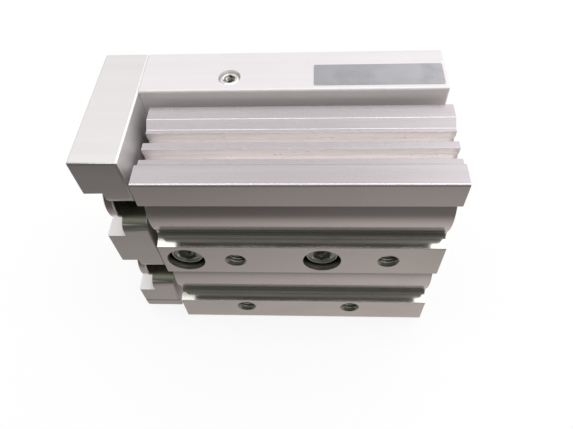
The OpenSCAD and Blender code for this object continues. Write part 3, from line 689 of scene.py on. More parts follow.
def drawn_finish(name, tint, roughness, lines=(60, 7000, 7000), depth=0.3, metallic=0.85,
                 contrast=0.04):
    """Anodised extrusion: die lines along its length, fine grain, and handling marks."""
    finish = Finish(name, tint, metallic, roughness)
    streaks, bands = finish.grain(lines, 3), finish.grain((12, 420, 420), 2)
    grain = finish.grain(14000, 2)
    smudges, scratches = finish.marks(45, 260)
    finish.shade(bands, 1 - contrast, 1 + contrast, streaks, 0.97, 1.03, smudges, 1, 0.97)
    finish.rub(streaks, -0.05, 0.05, grain, -0.03, 0.03, smudges, 0, 0.05, scratches, 0, -0.06)
    finish.relief(streaks, depth, grain, 0.1)


def milled_finish(name, tint, roughness, centre, across, rings=2400, depth=0.5, metallic=0.65):
    """Milled and anodised face: wide tool arcs, fine grain, and handling marks."""
    finish = Finish(name, tint, metallic, roughness)
    arcs, broad = finish.rings(centre, across, rings), finish.rings(centre, across, 240)
    grain = finish.grain(12000, 2)
    smudges, scratches = finish.marks(38, 220)
    finish.shade(broad, 0.97, 1.03, smudges, 1, 0.97)
    finish.rub(arcs, -0.05, 0.05, grain, -0.02, 0.02, smudges, 0, 0.05, scratches, 0, -0.06)
    finish.relief(arcs, depth, grain, 0.2)


def turned_finish(name, tint, roughness, centre, rings=5000, depth=0.8):
    """Turned part: fine rings round its axis along X."""
    finish = Finish(name, tint, 1.0, roughness)
    rings = finish.rings(centre, (0, 1, 1), rings)
    grain = finish.grain(9000, 3)
    smudges, _ = finish.marks(160, 500)
    finish.shade(grain, 0.92, 1.08, smudges, 1, 0.88)
    finish.rub(rings, -0.06, 0.06, smudges, 0, 0.1)
    finish.relief(rings, depth)


def plated_finish(name, tint, roughness, depth=0.8, metallic=1.0):
    """Plated steel: cloudy gloss with fine pits and handling marks."""
    finish = Finish(name, tint, metallic, roughness)
    cloud, grain = finish.grain(700, 4), finish.grain(16000, 3)
    smudges, scratches = finish.marks(220, 700)
    finish.shade(cloud, 0.86, 1.12, smudges, 1, 0.9)
    finish.rub(cloud, -0.08, 0.1, scratches, 0, 0.12)
    finish.relief(grain, depth)


def moulded_finish(name, tint, roughness, depth=3, tone=0.12):
    """Moulded resin or rubber: fine eroded grain and dusty patches."""
    finish = Finish(name, tint, 0.0, roughness)
    grain = finish.grain(7000, 4)
    smudges, _ = finish.marks(150, 500)
    finish.shade(grain, 1 - tone, 1 + tone, smudges, 1, 1.25)
    finish.rub(grain, -0.06, 0.06, smudges, 0, 0.08)
    finish.relief(grain, depth)


def drilled_finish(name, tint):
    """Drilled hole: turning marks and dark smudges."""
    finish = Finish(name, tint, 1.0, 0.26)
    turns = finish.grain((500, 9000, 500), 2)
    smudges, _ = finish.marks(180, 500)
    finish.shade(turns, 0.9, 1.1, smudges, 1, 0.85)
    finish.rub(turns, -0.05, 0.08)
    finish.relief(turns, 1.2)


def foil_finish(name, tint):
    """Label foil: fine hairlines and low waves."""
    finish = Finish(name, tint, 1.0, 0.3)
    hair, wave = finish.grain((300, 16000, 16000), 3), finish.grain((110, 160, 160), 2)
    smudges, _ = finish.marks(110, 420)
    finish.shade(hair, 0.95, 1.05, wave, 0.86, 1.12, smudges, 1, 0.82)
    finish.rub(hair, -0.04, 0.04, smudges, 0, 0.08)
    finish.relief(hair, 0.4, wave, 12)


def bores():
    """Centres of the upper and the lower bore on the bore axis, from the floating bushes."""
    return [sum(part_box(side + "_floating_bush"), Vector()) / 2 for side in ("upper", "lower")]


def make_finishes():
    """Builds all materials of the pieces."""
    make_groups()
    look = setting("finish")
    middle = sum(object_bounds(), Vector()) / 2
    in_xz, in_yz = (1, 0, 1), (0, 1, 1)

    def from_middle(*steps):
        return middle + Vector(steps)

    drawn_finish("Anodised Extrusion", look.body, 0.27, contrast=0.1)
    # Switch grooves: a lighter, less metallic copy of the drawn finish as painted light
    drawn_finish("Anodised Groove", look.groove, 0.3, metallic=0.35, contrast=0.2)
    drawn_finish("Anodised Crest", look.crest, 0.22, metallic=0.95)
    # Channel floors and sides: dark copies of the drawn finish as painted shade
    drawn_finish("Anodised Channel Floor", look.floor, 0.7, metallic=0.8)
    drawn_finish("Anodised Channel", look.channel, 0.13, metallic=1.0)
    # Notches: a dark copy as painted shade
    drawn_finish("Anodised Notch", look.notch, 0.42, metallic=0.95)
    # Notch ends: a light, less metallic copy as painted light
    drawn_finish("Anodised Notch End", look.notch_end, 0.6, metallic=0.5)
    drawn_finish("Anodised Table", look.table, 0.48, (45, 5000, 5000), 0.4, metallic=0.35)
    # Strip under the table: a lighter copy as painted light
    drawn_finish("Anodised Table Edge", look.edge, 0.6, (40, 4200, 4200), 0.5, metallic=0.4,
                 contrast=0.1)
    drawn_finish("Ground Steel", look.steel, 0.24, (150, 16000, 16000), 0.5)
    milled_finish("Anodised Milled Land", look.milled, 0.36, from_middle(0.02, 0, -0.09), in_xz,
                  rings=2600)
    milled_finish("Anodised Sawn End", look.milled, 0.42, from_middle(0, 0.03, -0.16), in_yz,
                  rings=1800, depth=0.9)
    milled_finish("Anodised Working Face", look.table, 0.32, from_middle(-0.12, 0, 0.01), in_xz,
                  rings=2200)
    milled_finish("Anodised End Plate", look.plate, 0.40, from_middle(-0.04, 0.12, 0),
                  (1, 1, 1), metallic=0.86)
    # Front of the end plate: a darker copy as painted shade
    milled_finish("Anodised Plate Front", look.front, 0.34, from_middle(-0.04, 0, 0.09), in_xz,
                  metallic=0.95)
    milled_finish("Anodised Plate Face", look.table, 0.42, from_middle(0, 0.01, 0.02), in_yz)
    # Holes of the body: a dark copy as painted shade; the holes of the table keep the table's
    # colour
    drilled_finish("Drilled Body", look.drilled)
    drilled_finish("Drilled Table", look.table)
    plated_finish("Plated Steel", look.zinc, 0.2)
    # Near-white ring on the screw heads: painted highlight
    plated_finish("Plated Rim", (1.0, 1.0, 0.95), 0.35, depth=0.3, metallic=0.1)
    # Dark flats and sockets of the screws: painted shade
    plated_finish("Plated Flat", (0.24, 0.245, 0.215), 0.22)
    plated_finish("Bright Plated Steel", (0.86, 0.86, 0.84), 0.12, depth=0.3)
    plated_finish("Polished Balls", (0.80, 0.80, 0.82), 0.08, depth=0.1)
    plated_finish("Phosphated Spring Steel", (0.10, 0.10, 0.105), 0.42, depth=1.5)
    moulded_finish("Moulded Resin", look.resin, 0.48)
    moulded_finish("Bumper Rubber", (0.05, 0.085, 0.075), 0.55, depth=4)
    moulded_finish("Seal Rubber", (0.018, 0.018, 0.019), 0.42, depth=1.5)
    moulded_finish("Magnet Compound", (0.06, 0.06, 0.065), 0.5, depth=2, tone=0.2)
    foil_finish("Label Foil", look.foil)
    for side, centre in zip(("Upper", "Lower"), bores()):
        turned_finish(f"{side} Nut Steel", (0.56, 0.53, 0.52), 0.3, centre, rings=4200)
        turned_finish(f"{side} Bearing Alloy", look.bronze, 0.28, centre)
        turned_finish(f"{side} Chromed Rod", (0.80, 0.80, 0.81), 0.1, centre, rings=6500,
                      depth=0.15)
        turned_finish(f"{side} Turned Alloy", (0.70, 0.69, 0.68), 0.3, centre, rings=4500)


# ---------------------------------------------------------------- pieces


class PieceOperator(bpy.types.Operator):
    """Makes pieces of the slide table."""

    bl_idname = "slide_table.piece"
    bl_label = "Piece"
    bl_options = {"REGISTER", "UNDO"}

    def hand_over(self, piece, body, slot, *nodes):
        """Ties a finished piece to its body and the solids it stands for. The slot is not used."""
        if not piece.data.polygons:
            raise RuntimeError(f"{piece.name} has no faces")
        for node in nodes:
            keep_within(piece, *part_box(node))
        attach(piece, body)
        if nodes:
            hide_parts(*nodes)


def tapped(mount_name, node, depth, pitch, outer_r):
    """Tapped holes of a mount as point on the face, direction inwards, depth, pitch and radii."""
    mount = MOUNTS[mount_name]
    centre, axis, dims = Vector(mount["pos_m"]), Vector(mount["axis"]), mount["dims"]
    across = [step for step in (X, Y, Z) if abs(step.dot(axis)) < 0.5]
    spans = [dims.get(key, 0) * MM for key in ("spacing_x_mm", "spacing_y_mm")]
    ways = [(-0.5, 0.5) if span else (0,) for span in spans]
    low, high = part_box(node)
    face = high if axis.dot(X + Y + Z) > 0 else low
    inner_r = dims.get("hole_r_mm", dims.get("r_mm")) * MM
    points = [centre + across[0] * spans[0] * a + across[1] * spans[1] * b
              for a in ways[0] for b in ways[1]]
    return [(point + axis * (face - point).dot(axis), -axis, depth, pitch, inner_r, outer_r)
            for point in points]


def land_holes():
    sizes = setting("threads")
    return (tapped("middle_land_taps", "body", sizes.middle_depth, sizes.m6_pitch, 3 * MM)
            + tapped("lower_land_taps", "body", sizes.lower_depth, sizes.m6_pitch, 3 * MM))


def port_holes():
    sizes = setting("threads")
    return [hole for name in ("front_air_port", "rear_air_port")
            for hole in tapped(name, "body", sizes.port_depth, sizes.pipe_pitch, sizes.pipe_r)]


def table_holes():
    sizes = setting("threads")
    return tapped("table_taps", "table", sizes.table_depth, sizes.m6_pitch, 3 * MM)


def plate_holes():
    sizes = setting("threads")
    return tapped("end_plate_taps", "end_plate", sizes.plate_depth, sizes.m5_pitch, 2.5 * MM)


def widen(piece, holes):
    """Opens tapped holes to the outer radius of their thread."""
    for point, inwards, depth, pitch, inner_r, outer_r in holes:
        start = outer_r / 30
        drill = turned("Drill", [(0, start), (outer_r, start), (outer_r, depth), (0, depth)],
                       setting("threads").steps)
        cut(piece, place(drill, along(point, inwards)))


class SLIDE_TABLE_OT_body(PieceOperator):
    """Body with broken edges, drawn sides, milled lands and widened tapped holes"""

    bl_idname = "slide_table.body"
    bl_label = "Body"

    def execute(self, context):
        edges, channels = setting("edges"), setting("channels")
        body = rounded_copy("body", "grooved_body", edges.machined, edges.chamfers,
                            blend=self.blend_crests)
        widen(body, land_holes() + port_holes())
        even_shading(body)
        paint(body, "Anodised Extrusion", "Anodised Milled Land", "Anodised Sawn End",
              "Anodised Groove", "Anodised Crest", "Anodised Channel Floor", "Anodised Channel",
              "Drilled Body")
        low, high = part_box("body")
        gap, mouth = 0.9 * MM, 2.2 * MM
        grooves = [Vector(MOUNTS[name + "_switch_groove"]["pos_m"])
                   for name in ("first", "second")]
        # Inside of the switch grooves: painted light
        paint_faces(body, 3, lambda face: abs(face.normal.x) < ACROSS and any(
            abs(face.center.y - axis.y) < mouth and abs(face.center.z - axis.z) < 1.3 * mouth
            for axis in grooves))

        half, foot = channels.half, channels.crest_half + channels.blend
        land_y, floor_y = low.y + SKIN, low.y + channels.depth + SKIN
        bend_y = low.y + channels.depth - channels.corner
        heights = [bore.z for bore in bores()]
        # Crests keep a tone near the drawn sides; the floors and sides of the channels get dark
        # colours as painted shade
        for index, inner, outer, top, bottom in (
                (4, 0, foot, land_y, floor_y), (5, foot, half, bend_y, floor_y),
                (6, foot, half, land_y, bend_y)):
            paint_faces(body, index, lambda face: (
                top < face.center.y < bottom and abs(face.normal.x) <= ACROSS and any(
                    inner <= abs(face.center.z - height) < outer for height in heights)))

        bolt_low, bolt_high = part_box("guide_block_bolts")
        head_r, bolt_z = (bolt_high.z - bolt_low.z) / 2, (bolt_low.z + bolt_high.z) / 2
        round_holes = [(x, bolt_z, head_r + gap)
                       for x in (bolt_low.x + head_r, bolt_high.x - head_r)]
        round_holes += [(hole[0].x, hole[0].z, hole[-1] + gap) for hole in land_holes()]
        # Walls of the counterbores and tapped holes of the body: painted shade
        paint_faces(body, 7, lambda face: (
            face.center.y > land_y and abs(face.normal.x) < 0.9999 and any(
                math.hypot(face.center.x - x, face.center.z - z) < reach
                for x, z, reach in round_holes)))
        paint_faces(body, 1, lambda face: face.normal.y < -FACING and face.center.y < land_y)
        paint_faces(body, 2, lambda face: abs(face.normal.x) > FACING and (
            face.center.x < low.x + SKIN or face.center.x > high.x - SKIN))
        self.hand_over(body, HOUSING, "anodised_body", "body")
        return {"FINISHED"}

    @staticmethod
    def blend_crests(body):
        """Rounds the foot of each crest and stands the lowest channel side a little steeper."""
        channels = setting("channels")
        spare, crest_half = 0.1 * MM, channels.crest_half
        floor_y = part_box("body")[0].y + channels.depth
        heights = [bore.z for bore in bores()]
        side_z = min(heights) - channels.half
        for vert in body.data.vertices:
            sunk = vert.co.y - floor_y + channels.depth
            if 0 < sunk < channels.depth + spare and 0 < vert.co.z - side_z < channels.wall:
                vert.co.z -= channels.ease * sunk / channels.depth
        feet = {vert.index for vert in body.data.vertices
                if abs(vert.co.y - floor_y) < spare and any(
                    abs(abs(vert.co.z - height) - crest_half) < spare for height in heights)}
        bevel_edges(body, lambda edge: feet.issuperset(edge.vertices), channels.blend, 4)


class SLIDE_TABLE_OT_table(PieceOperator):
    """Table with broken edges and widened tapped holes"""

    bl_idname = "slide_table.table"
    bl_label = "Table"

    def execute(self, context):
        edges = setting("edges")
        table = rounded_copy("table", "sliding_table", edges.machined, edges.chamfers)
        widen(table, table_holes())
        even_shading(table)
        face_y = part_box("table")[1].y - SKIN
        paint(table, "Anodised Table", "Anodised Working Face", "Anodised Table Edge")
        paint_faces(table, 1, lambda face: face.normal.y > FACING and face.center.y > face_y)
        # Faces of the table turned downwards: painted light
        paint_faces(table, 2, lambda face: face.normal.y < -0.8)
        self.hand_over(table, SLIDER, "anodised_table", "table")
        return {"FINISHED"}


class SLIDE_TABLE_OT_end_plate(PieceOperator):
    """End plate with broken edges, rounded tabs, a scribed line and widened tapped holes"""

    bl_idname = "slide_table.end_plate"
    bl_label = "End plate"

    def execute(self, context):
        edges = setting("edges")
        low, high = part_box("end_plate")
        short, chamfer = 0.6 * MM, 0.42 * MM

        def at_mouth(*ends):
            """The short edges where the flares of the notches run out into the chamfers."""
            return (ends[0] - ends[1]).length < short and all(
                end.y < low.y + chamfer and min(end.x - low.x, high.x - end.x) < chamfer
                for end in ends)

        plate = rounded_copy("end_plate", "notched_end_plate", edges.machined,
                             blend=self.round_tabs, sharp=at_mouth)
        self.mark_foot(plate, edges, low, high)
        widen(plate, plate_holes())
        even_shading(plate)
        paint(plate, "Anodised End Plate", "Anodised Plate Face", "Anodised Plate Front",
              "Anodised Notch", "Anodised Notch End")
        centres, line = bores(), edges.line_height
        bush_low, bush_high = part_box("upper_floating_bush")
        reach = 0.42 * (bush_high.y - bush_low.y)

        def in_notch(face):
            return (face.center.y > low.y + SKIN and abs(face.normal.x) < ACROSS and any(
                face.center.y < bore.y + reach and abs(face.center.z - bore.z) < reach
                for bore in centres))

        paint_faces(plate, 1, lambda face: abs(face.normal.x) > FACING)
        # Faces of the end plate turned to the front: painted shade
        paint_faces(plate, 2, lambda face: face.normal.y < -0.3 and face.center.y < low.y + MM)
        # Faces inside the notches: painted shade
        paint_faces(plate, 3, in_notch)
        # Downward faces inside the notches: painted light that lifts their deep shade
        paint_faces(plate, 4, lambda face: in_notch(face) and face.normal.z < 0.25)
        # Walls of the scribed line: the dark notch colour as painted shade
        paint_faces(plate, 3, lambda face: abs(face.center.z - line) < MM / 2
                    and SKIN < face.center.y - low.y < MM and abs(face.normal.x) < ACROSS)
        self.hand_over(plate, SLIDER, "anodised_plate", "end_plate")
        return {"FINISHED"}

    @staticmethod
    def round_tabs(plate):
        """Rounds the lower outer corners of the tabs."""
        end_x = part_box("end_plate")[0].x + SKIN
        near, verts = faces_of_edges(plate.data), plate.data.vertices

        def on_corner(edge):
            ends = [verts[index].co for index in edge.vertices]
            if any(end.x > end_x for end in ends) or abs(ends[0].z - ends[1].z) > SKIN:
                return False
            normals = [face.normal for face in near[edge.key]]
            return (len(normals) == 2 and min(normal.x for normal in normals) < -FACING
                    and min(normal.z for normal in normals) < -FACING)

        bevel_edges(plate, on_corner, setting("edges").tabs, 4)

    @staticmethod
    def mark_foot(plate, edges, low, high):
        """Rounds the lowest corner and cuts the scribed line of the lowest tab."""
        size, foot, over = high - low, edges.foot, MM
        cut(plate, block("Line", (2 * size.x, edges.line_depth, edges.line_width),
                         ((low.x + high.x) / 2, low.y, edges.line_height)))
        ends = (-over, size.y + over)
        ring = turned("Corner", [(foot, ends[0]), (2 * foot, ends[0]), (2 * foot, ends[1]),
                                 (foot, ends[1]), (foot, ends[0])])
        place(ring, along((low.x + foot, low.y, low.z + foot), Y))
        quarter = block("Quarter", (2 * foot, 3 * size.y, 2 * foot), low)
        cut(ring, quarter, "INTERSECT")
        cut(plate, ring)


class SLIDE_TABLE_OT_threads(PieceOperator):
    """Threads of all tapped holes and air ports"""

    bl_idname = "slide_table.threads"
    bl_label = "Threads"

    def execute(self, context):
        # Threads of the body's holes and ports take the painted shade of its drilled holes
        for name, holes, body, slot, look in (
                ("land_threads", land_holes(), HOUSING, "anodised_body", "Drilled Body"),
                ("port_threads", port_holes(), HOUSING, "anodised_body", "Drilled Body"),
                ("table_threads", table_holes(), SLIDER, "anodised_table", "Drilled Table"),
                ("end_plate_threads", plate_holes(), SLIDER, "anodised_plate", "Drilled Table")):
            parts = []
            for point, inwards, depth, pitch, inner_r, outer_r in holes:
                part = thread(name, inner_r, outer_r + SKIN, pitch, pitch / 6, depth - pitch / 4,
                              setting("threads").steps)
                parts.append(place(part, along(point, inwards)))
            piece = join(name, parts)
            even_shading(piece, 70)
            paint(piece, look)
            self.hand_over(piece, body, slot)
        return {"FINISHED"}


def head_radius(size):
    """Radius of a socket head, from the thread diameter."""
    return (1.5 * size + MM) / 2


def socket_screw(name, size, length, pitch):
    """Socket head screw along +Z, with its seat at height 0, its head below and thread above."""
    sizes = setting("screws")
    head_r, head_h, round_r = head_radius(size), size, sizes.bevel * size
    tip, core = size / 10, size / 2 - THREAD_DEPTH * pitch
    arc = [(head_r - round_r + round_r * math.sin(a), -head_h + round_r - round_r * math.cos(a))
           for a in (math.radians(step) for step in (0, 30, 60, 90))]
    profile = ([(0, -head_h), (size * 0.6, -head_h)] + arc
               + [(head_r, -head_h * 0.55), (head_r, -tip / 2), (head_r - tip / 2, 0), (core, 0),
                  (core, length - tip), (core - tip, length), (0, length)])
    screw = turned(name, profile, steps=2 * sizes.ribs)
    # knurl: every second column of the head's side is pressed in
    for vert in screw.data.vertices:
        radius = vert.co.xy.length
        column = round(math.atan2(vert.co.y, vert.co.x) / math.pi * sizes.ribs)
        if column % 2 and radius > head_r - tip / 4 and vert.co.z > -head_h + 0.9 * round_r:
            vert.co.x *= 1 - sizes.knurl / radius
            vert.co.y *= 1 - sizes.knurl / radius
    key = hex_key(size * 5 / 6, sizes.key_depth * size, size / 40)
    cut(screw, place(key, Matrix.Translation((0, 0, -head_h))))
    ridge = thread("Ridge", core, size / 2, pitch, size / 6, length - tip / 2, 32, inside=False)
    return join(name, [screw, ridge])


class SLIDE_TABLE_OT_socket_screws(PieceOperator):
    """Socket head screws of guide block, end plate and rail"""

    bl_idname = "slide_table.socket_screws"
    bl_label = "Socket screws"

    def execute(self, context):
        for name, node, size, pitch, body, direction, row, count in (
                ("block_bolts", "guide_block_bolts", 6 * MM, 1.0 * MM, HOUSING, Y, X, 2),
                ("plate_screws", "end_plate_screws", 6 * MM, 1.0 * MM, SLIDER, X, Z, 2),
                ("rail_screws", "rail_bolts", 3 * MM, 0.5 * MM, SLIDER, -Y, X, 3)):
            low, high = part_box(node)
            middle, span = (low + high) / 2, high - low
            depth = abs(span.dot(direction))
            seat = middle + direction * (size - depth / 2)
            reach = span.dot(row) / 2 - head_radius(size)
            screw = socket_screw(name, size, depth - size, pitch)
            piece = twins(name, screw, [
                along(seat + row * reach * (2 * index / (count - 1) - 1), direction)
                for index in range(count)])
            even_shading(piece, 35)
            paint(piece, "Plated Steel", "Plated Rim", "Plated Flat")
            # First step of each head's rounding: painted highlight ring
            paint_faces(piece, 1, lambda face: -0.995 < face.normal.dot(direction) < -0.9)
            # Flat top of each head: painted shade
            paint_faces(piece, 2, lambda face: face.normal.dot(direction) < -0.995)
            self.hand_over(piece, body, "screw_steel", node)
        return {"FINISHED"}


class SLIDE_TABLE_OT_set_screw(PieceOperator):
    """Bright set screw in the side of the table"""

    bl_idname = "slide_table.set_screw"
    bl_label = "Set screw"

    def execute(self, context):
        low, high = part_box("side_set_screw")
        radius, length, pitch = (high.x - low.x) / 2, high.z - low.z, setting("threads").m6_pitch
        core, rim, tip = radius - THREAD_DEPTH * pitch, 0.55 * MM, 0.4 * MM
        profile = [(0, 0), (core - 0.25 * MM, 0), (core - 0.05 * MM, 0.06 * MM),
                   (radius - 0.08 * MM, rim), (core, rim + 0.3 * MM), (core, length - tip),
                   (core * 0.6, length), (0, length)]
        screw = turned("bright_set_screw", profile, 72)
        cut(screw, hex_key(3 * MM, 2.8 * MM, 0.12 * MM))
        ridge = thread("Ridge", core, radius, pitch, 0.5 * MM, length - tip, 36, inside=False)
        piece = join("bright_set_screw", [screw, ridge])
        middle = (low + high) / 2
        place(piece, along((middle.x, middle.y, high.z), -Z))
        even_shading(piece, 35)
        paint(piece, "Bright Plated Steel", "Plated Flat")
        # Inside of the set screw's socket: painted shade
        paint_faces(piece, 1, lambda face: face.center.z < high.z - rim / 2 and math.hypot(
            face.center.x - middle.x, face.center.y - middle.y) < core / 2)
        self.hand_over(piece, SLIDER, "screw_steel", "side_set_screw")
        return {"FINISHED"}


class SLIDE_TABLE_OT_rod_nuts(PieceOperator):
    """Round nuts on the rod ends"""

    bl_idname = "slide_table.rod_nuts"
    bl_label = "Rod nuts"

    def execute(self, context):
        low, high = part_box("rod_nuts")
        radius, thick = (high.y - low.y) / 2, high.x - low.x
        hole, rim, step, hub = 2.55 * MM, 0.35 * MM, 0.1 * MM, 0.62 * radius
        profile = [(hole, rim), (hole + rim, 0), (hub, 0), (hub + step, step),
                   (radius - rim, step), (radius, rim + step), (radius, thick - rim),
                   (radius - rim, thick), (hole + rim, thick), (hole, thick - rim), (hole, rim)]
        piece = twins("round_rod_nuts", turned("Nut", profile, 96), [
            along((low.x, centre.y, z), X)
            for centre, z in zip(bores(), (high.z - radius, low.z + radius))])
        even_shading(piece, 35)
        paint(piece, "Upper Nut Steel", "Lower Nut Steel")
        paint_faces(piece, 1, lambda face: face.center.z < (low.z + high.z) / 2)
        self.hand_over(piece, SLIDER, "nut_steel", "rod_nuts")
        return {"FINISHED"}


class SLIDE_TABLE_OT_guide_screws(PieceOperator):
    """Small cross recess screws that hold the return guides"""

    bl_idname = "slide_table.guide_screws"
    bl_label = "Guide screws"

    def execute(self, context):
        low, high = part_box("return_guide_screws")
        head_r, head_t, shank_r, length = 2 * MM, 0.5 * MM, 0.9 * MM, 9 * MM
        recess, wing, sunk = 1.9 * MM, 0.42 * MM, 0.7 * MM
        profile = [(0, 0), (head_r * 0.6, 0), (head_r * 0.85, head_t * 0.2),
                   (head_r, head_t * 0.7), (head_r, head_t), (shank_r, head_t),
                   (shank_r, length - head_t), (0, length)]
        screw = turned("Small screw", profile, 40)
        for size in ((recess, wing, sunk), (wing, recess, sunk)):
            cut(screw, block("Recess", size, (0, 0, 0)))
        piece = twins("cross_screws", screw, [
            along((x, (low.y + high.y) / 2, z), direction)
            for x, direction in ((low.x, X), (high.x, -X))
            for z in (low.z + head_r, high.z - head_r)])
        even_shading(piece, 35)
        paint(piece, "Plated Steel")
        self.hand_over(piece, HOUSING, "screw_steel", "return_guide_screws")
        return {"FINISHED"}


class SLIDE_TABLE_OT_label(PieceOperator):
    """Bare label plate of thin foil"""

    bl_idname = "slide_table.label"
    bl_label = "Label plate"

    def execute(self, context):
        low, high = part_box("label_plate")
        corner, border, sunk = 0.5 * MM, 0.06 * MM, 0.05 * MM
        label = block("foil_label", high - low, (low + high) / 2)
        verts = label.data.vertices
        bevel_edges(label, lambda edge: abs(
            verts[edge.vertices[0]].co.z - verts[edge.vertices[1]].co.z) > sunk, corner, 6)
        select_parts(label, faces=lambda face: face.normal.z > 0.9)
        bpy.ops.mesh.inset(thickness=border)
        leave_edit()
        upper = [face for face in label.data.polygons if face.normal.z > 0.9]
        inner = set(max(upper, key=lambda face: face.area).vertices)
        for vert in label.data.vertices:
            if vert.co.z > high.z - SKIN and vert.index not in inner:
                vert.co.z -= sunk
        even_shading(label, 60)
        paint(label, "Label Foil")
        self.hand_over(label, SLIDER, "label_foil", "label_plate")
        return {"FINISHED"}


# solids that get broken edges: node, name of the piece, body, slot and finish
ROUNDED = [
    ("guide_rail", "ground_rail", SLIDER, "guide_steel", "Ground Steel"),
    ("guide_block", "ground_block", HOUSING, "guide_steel", "Ground Steel"),
]
# solids that stay as they are: node and finish
KEPT = {"guide_balls": "Polished Balls", "end_plate_pins": "Ground Steel"}
for node, name, slot, look in (
        ("return_guide", "resin_cap", "guide_resin", "Moulded Resin"),
        ("scraper", "wiper", "scraper_rubber", "Seal Rubber"),
        ("retaining_rings", "snap_rings", "ring_steel", "Phosphated Spring Steel")):
    ROUNDED += [(f"{end}_{node}", f"{end}_{name}", HOUSING, slot, look)
                for end in ("front", "rear")]
for side in ("upper", "lower"):
    row = side.capitalize()
    ROUNDED += [
        (f"{side}_floating_bush", f"{side}_turned_bush", SLIDER, "bush_bronze",
         f"{row} Bearing Alloy"),
        (f"{side}_piston_rod", f"{side}_chromed_rod", SLIDER, "rod_chrome",
         f"{row} Chromed Rod"),
        (f"{side}_rod_cover", f"{side}_turned_cover", HOUSING, "bush_bronze",
         f"{row} Bearing Alloy"),
        (f"{side}_head_cap", f"{side}_turned_cap", HOUSING, "piston_alloy",
         f"{row} Turned Alloy"),
    ]
    KEPT[f"{side}_piston"] = f"{row} Turned Alloy"
    KEPT[f"{side}_magnet"] = "Magnet Compound"
    KEPT.update({f"{side}_{name}_seal": "Seal Rubber" for name in ("piston", "rod", "cap")})
    KEPT.update({f"{side}_{name}_bumper": "Bumper Rubber" for name in ("front", "rear")})


class SLIDE_TABLE_OT_rounded_parts(PieceOperator):
    """Guide, rods, bushes, covers and rings with broken edges"""

    bl_idname = "slide_table.rounded_parts"
    bl_label = "Guide and cylinder parts"

    def execute(self, context):
        for node, name, body, slot, look in ROUNDED:
            piece = rounded_copy(node, name, setting("edges").fine)
            even_shading(piece)
            paint(piece, look)
            self.hand_over(piece, body, slot, node)
        return {"FINISHED"}


class SLIDE_TABLE_OT_inner_parts(PieceOperator):
    """Finishes of the inner solids that stay as they are"""

    bl_idname = "slide_table.inner_parts"
    bl_label = "Inner parts"

    def execute(self, context):
        for node, look in KEPT.items():
            paint(frame["nodes"][node], look)
        return {"FINISHED"}


# ---------------------------------------------------------------- stage


def ramp(tree, source, axis, low, high, low_value, high_value):
    """Spreads the share of a vector along an axis between two values."""
    share = add_node(tree, "VectorMath", operation="DOT_PRODUCT")
    share.inputs[1].default_value = axis
    spread = add_node(tree, "MapRange", interpolation_type="SMOOTHSTEP", From_Min=low,
                      From_Max=high, To_Min=low_value, To_Max=high_value)
    wire(tree, source, share.inputs[0], share.outputs["Value"], spread.inputs["Value"])
    return spread.outputs["Result"]


def product(tree, first, second):
    node = add_node(tree, "Math", operation="MULTIPLY")
    wire(tree, first, node.inputs[0], second, node.inputs[1])
    return node.outputs[0]


def seen_apart(tree, light, seen, surface):
    """Shows one shader to the camera and lights the scene with another one."""
    mix = add_node(tree, "MixShader")
    wire(tree, add_node(tree, "LightPath").outputs["Is Camera Ray"], mix.inputs[0],
         light.outputs[0], mix.inputs[1], seen.outputs[0], mix.inputs[2],
         mix.outputs[0], surface)


def light_room(stage):
    """World that is pale to the camera and gives soft light, with a dim side in front."""
    world = bpy.data.worlds.new("Light room")
    world.use_nodes = True
    tree = world.node_tree
    light = tree.nodes["Background"]
    way = add_node(tree, "TexCoord").outputs["Generated"]
    front = ramp(tree, way, (0, -1, 0), 0.15, 0.7, 0, 1)
    low = ramp(tree, way, (0, 0.707, 0.707), -0.1, 0.06, 1, 0)
    right = ramp(tree, way, (1, 0, 0), 0.02, 0.45, 1, 1.8)
    left = ramp(tree, way, (-1, 0, 0), 0.02, 0.5, 1, 1.12)
    tone = add_node(tree, "Mix", data_type="RGBA")
    tone.inputs["A"].default_value = (*stage.sky, 1)
    tone.inputs["B"].default_value = (*stage.front, 1)
    wire(tree, product(tree, front, low), tone.inputs["Factor"],
         tone.outputs["Result"], light.inputs["Color"],
         product(tree, right, left), light.inputs["Strength"])
    seen = add_node(tree, "Background", Color=(0.95, 0.95, 0.95, 1))
    seen_apart(tree, light, seen, tree.nodes["World Output"].inputs["Surface"])
    return world


def floor_finish(stage):
    """Pale floor that gives back less light further in front of the object."""
    ground = Finish("Floor", stage.floor, 0.0, 0.8)
    ground.shade(ground.grain(300, 2), 0.995, 1.005)
    tree = ground.tree
    glow = add_node(tree, "Emission", Color=(*stage.bounce, 1))
    far = ramp(tree, ground.place, (0, 1, 0), -0.13, -0.03, 0.25, 1)
    side = ramp(tree, ground.place, (1, 0, 0), -0.075, 0.075, 0.85, 1.25)
    pale = add_node(tree, "Emission", Color=(1.0, 1.0, 1.0, 1))
    seen = add_node(tree, "MixShader", Fac=0.85)
    wire(tree, product(tree, far, side), glow.inputs["Strength"],
         ground.shader.outputs[0], seen.inputs[1], pale.outputs[0], seen.inputs[2])
    seen_apart(tree, glow, seen, tree.nodes["Material Output"].inputs["Surface"])


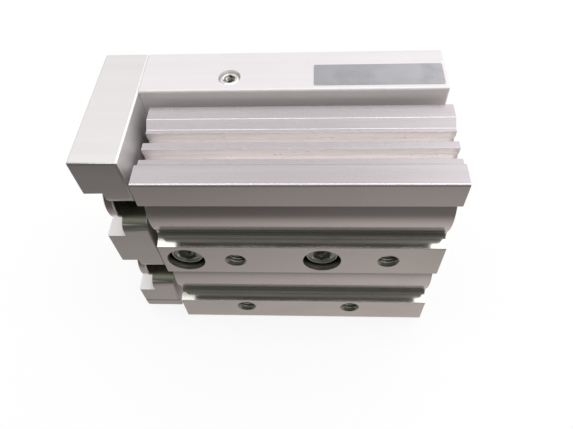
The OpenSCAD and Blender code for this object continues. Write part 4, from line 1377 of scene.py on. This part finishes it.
class SLIDE_TABLE_OT_stage(bpy.types.Operator):
    """Pale floor, soft light and camera"""

    bl_idname = "slide_table.stage"
    bl_label = "Stage"

    def execute(self, context):
        stage = setting("stage")
        objects = context.view_layer.objects
        deselect()
        bpy.ops.mesh.primitive_plane_add(size=8, location=(0, 0, 0))
        floor = named(objects.active, "floor")
        floor_finish(stage)
        paint(floor, "Floor")
        floor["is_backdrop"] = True
        context.scene.world = light_room(stage)
        deselect()
        bpy.ops.object.light_add(type="AREA", location=stage.lamp_place)
        lamp = named(objects.active, "Overhead softbox").data
        lamp.shape = "RECTANGLE"
        lamp.size, lamp.size_y = stage.lamp_size
        lamp.energy = stage.lamp_power
        deselect()
        bpy.ops.object.camera_add(location=stage.camera_place, rotation=stage.camera_turn)
        camera = objects.active
        camera.data.sensor_width = 36
        camera.data.lens = stage.camera_lens
        camera.data.clip_start = 5 * MM
        context.scene.camera = camera
        context.scene.view_settings.view_transform = "Standard"
        return {"FINISHED"}


OPERATORS = [
    SLIDE_TABLE_OT_stage, SLIDE_TABLE_OT_body, SLIDE_TABLE_OT_table, SLIDE_TABLE_OT_end_plate,
    SLIDE_TABLE_OT_threads, SLIDE_TABLE_OT_socket_screws, SLIDE_TABLE_OT_set_screw,
    SLIDE_TABLE_OT_rod_nuts, SLIDE_TABLE_OT_guide_screws, SLIDE_TABLE_OT_label,
    SLIDE_TABLE_OT_rounded_parts, SLIDE_TABLE_OT_inner_parts,
]


class SLIDE_TABLE_PT_panel(bpy.types.Panel):
    """Lists the pieces of the slide table"""

    bl_idname = "SLIDE_TABLE_PT_panel"
    bl_label = "Slide Table"
    bl_space_type = "VIEW_3D"
    bl_region_type = "UI"
    bl_category = "Slide Table"

    def draw(self, context):
        for operator in OPERATORS:
            self.layout.operator(operator.bl_idname)
        for group, kind in SETTINGS.items():
            box = self.layout.box()
            box.label(text=group.capitalize())
            for name in kind.__annotations__:
                box.prop(setting(group), name)


def register():
    for kind in (*SETTINGS.values(), *OPERATORS, SLIDE_TABLE_PT_panel):
        bpy.utils.register_class(kind)
    for group, kind in SETTINGS.items():
        setattr(bpy.types.Scene, "slide_table_" + group, PointerProperty(type=kind))


def unregister():
    for group in SETTINGS:
        delattr(bpy.types.Scene, "slide_table_" + group)
    for kind in (SLIDE_TABLE_PT_panel, *reversed(OPERATORS), *reversed(SETTINGS.values())):
        bpy.utils.unregister_class(kind)


def main():
    register()
    deselect()
    make_finishes()
    for operator in OPERATORS:
        area, name = operator.bl_idname.split(".")
        getattr(getattr(bpy.ops, area), name)()
    deselect()


if __name__ == "__main__":
    main()
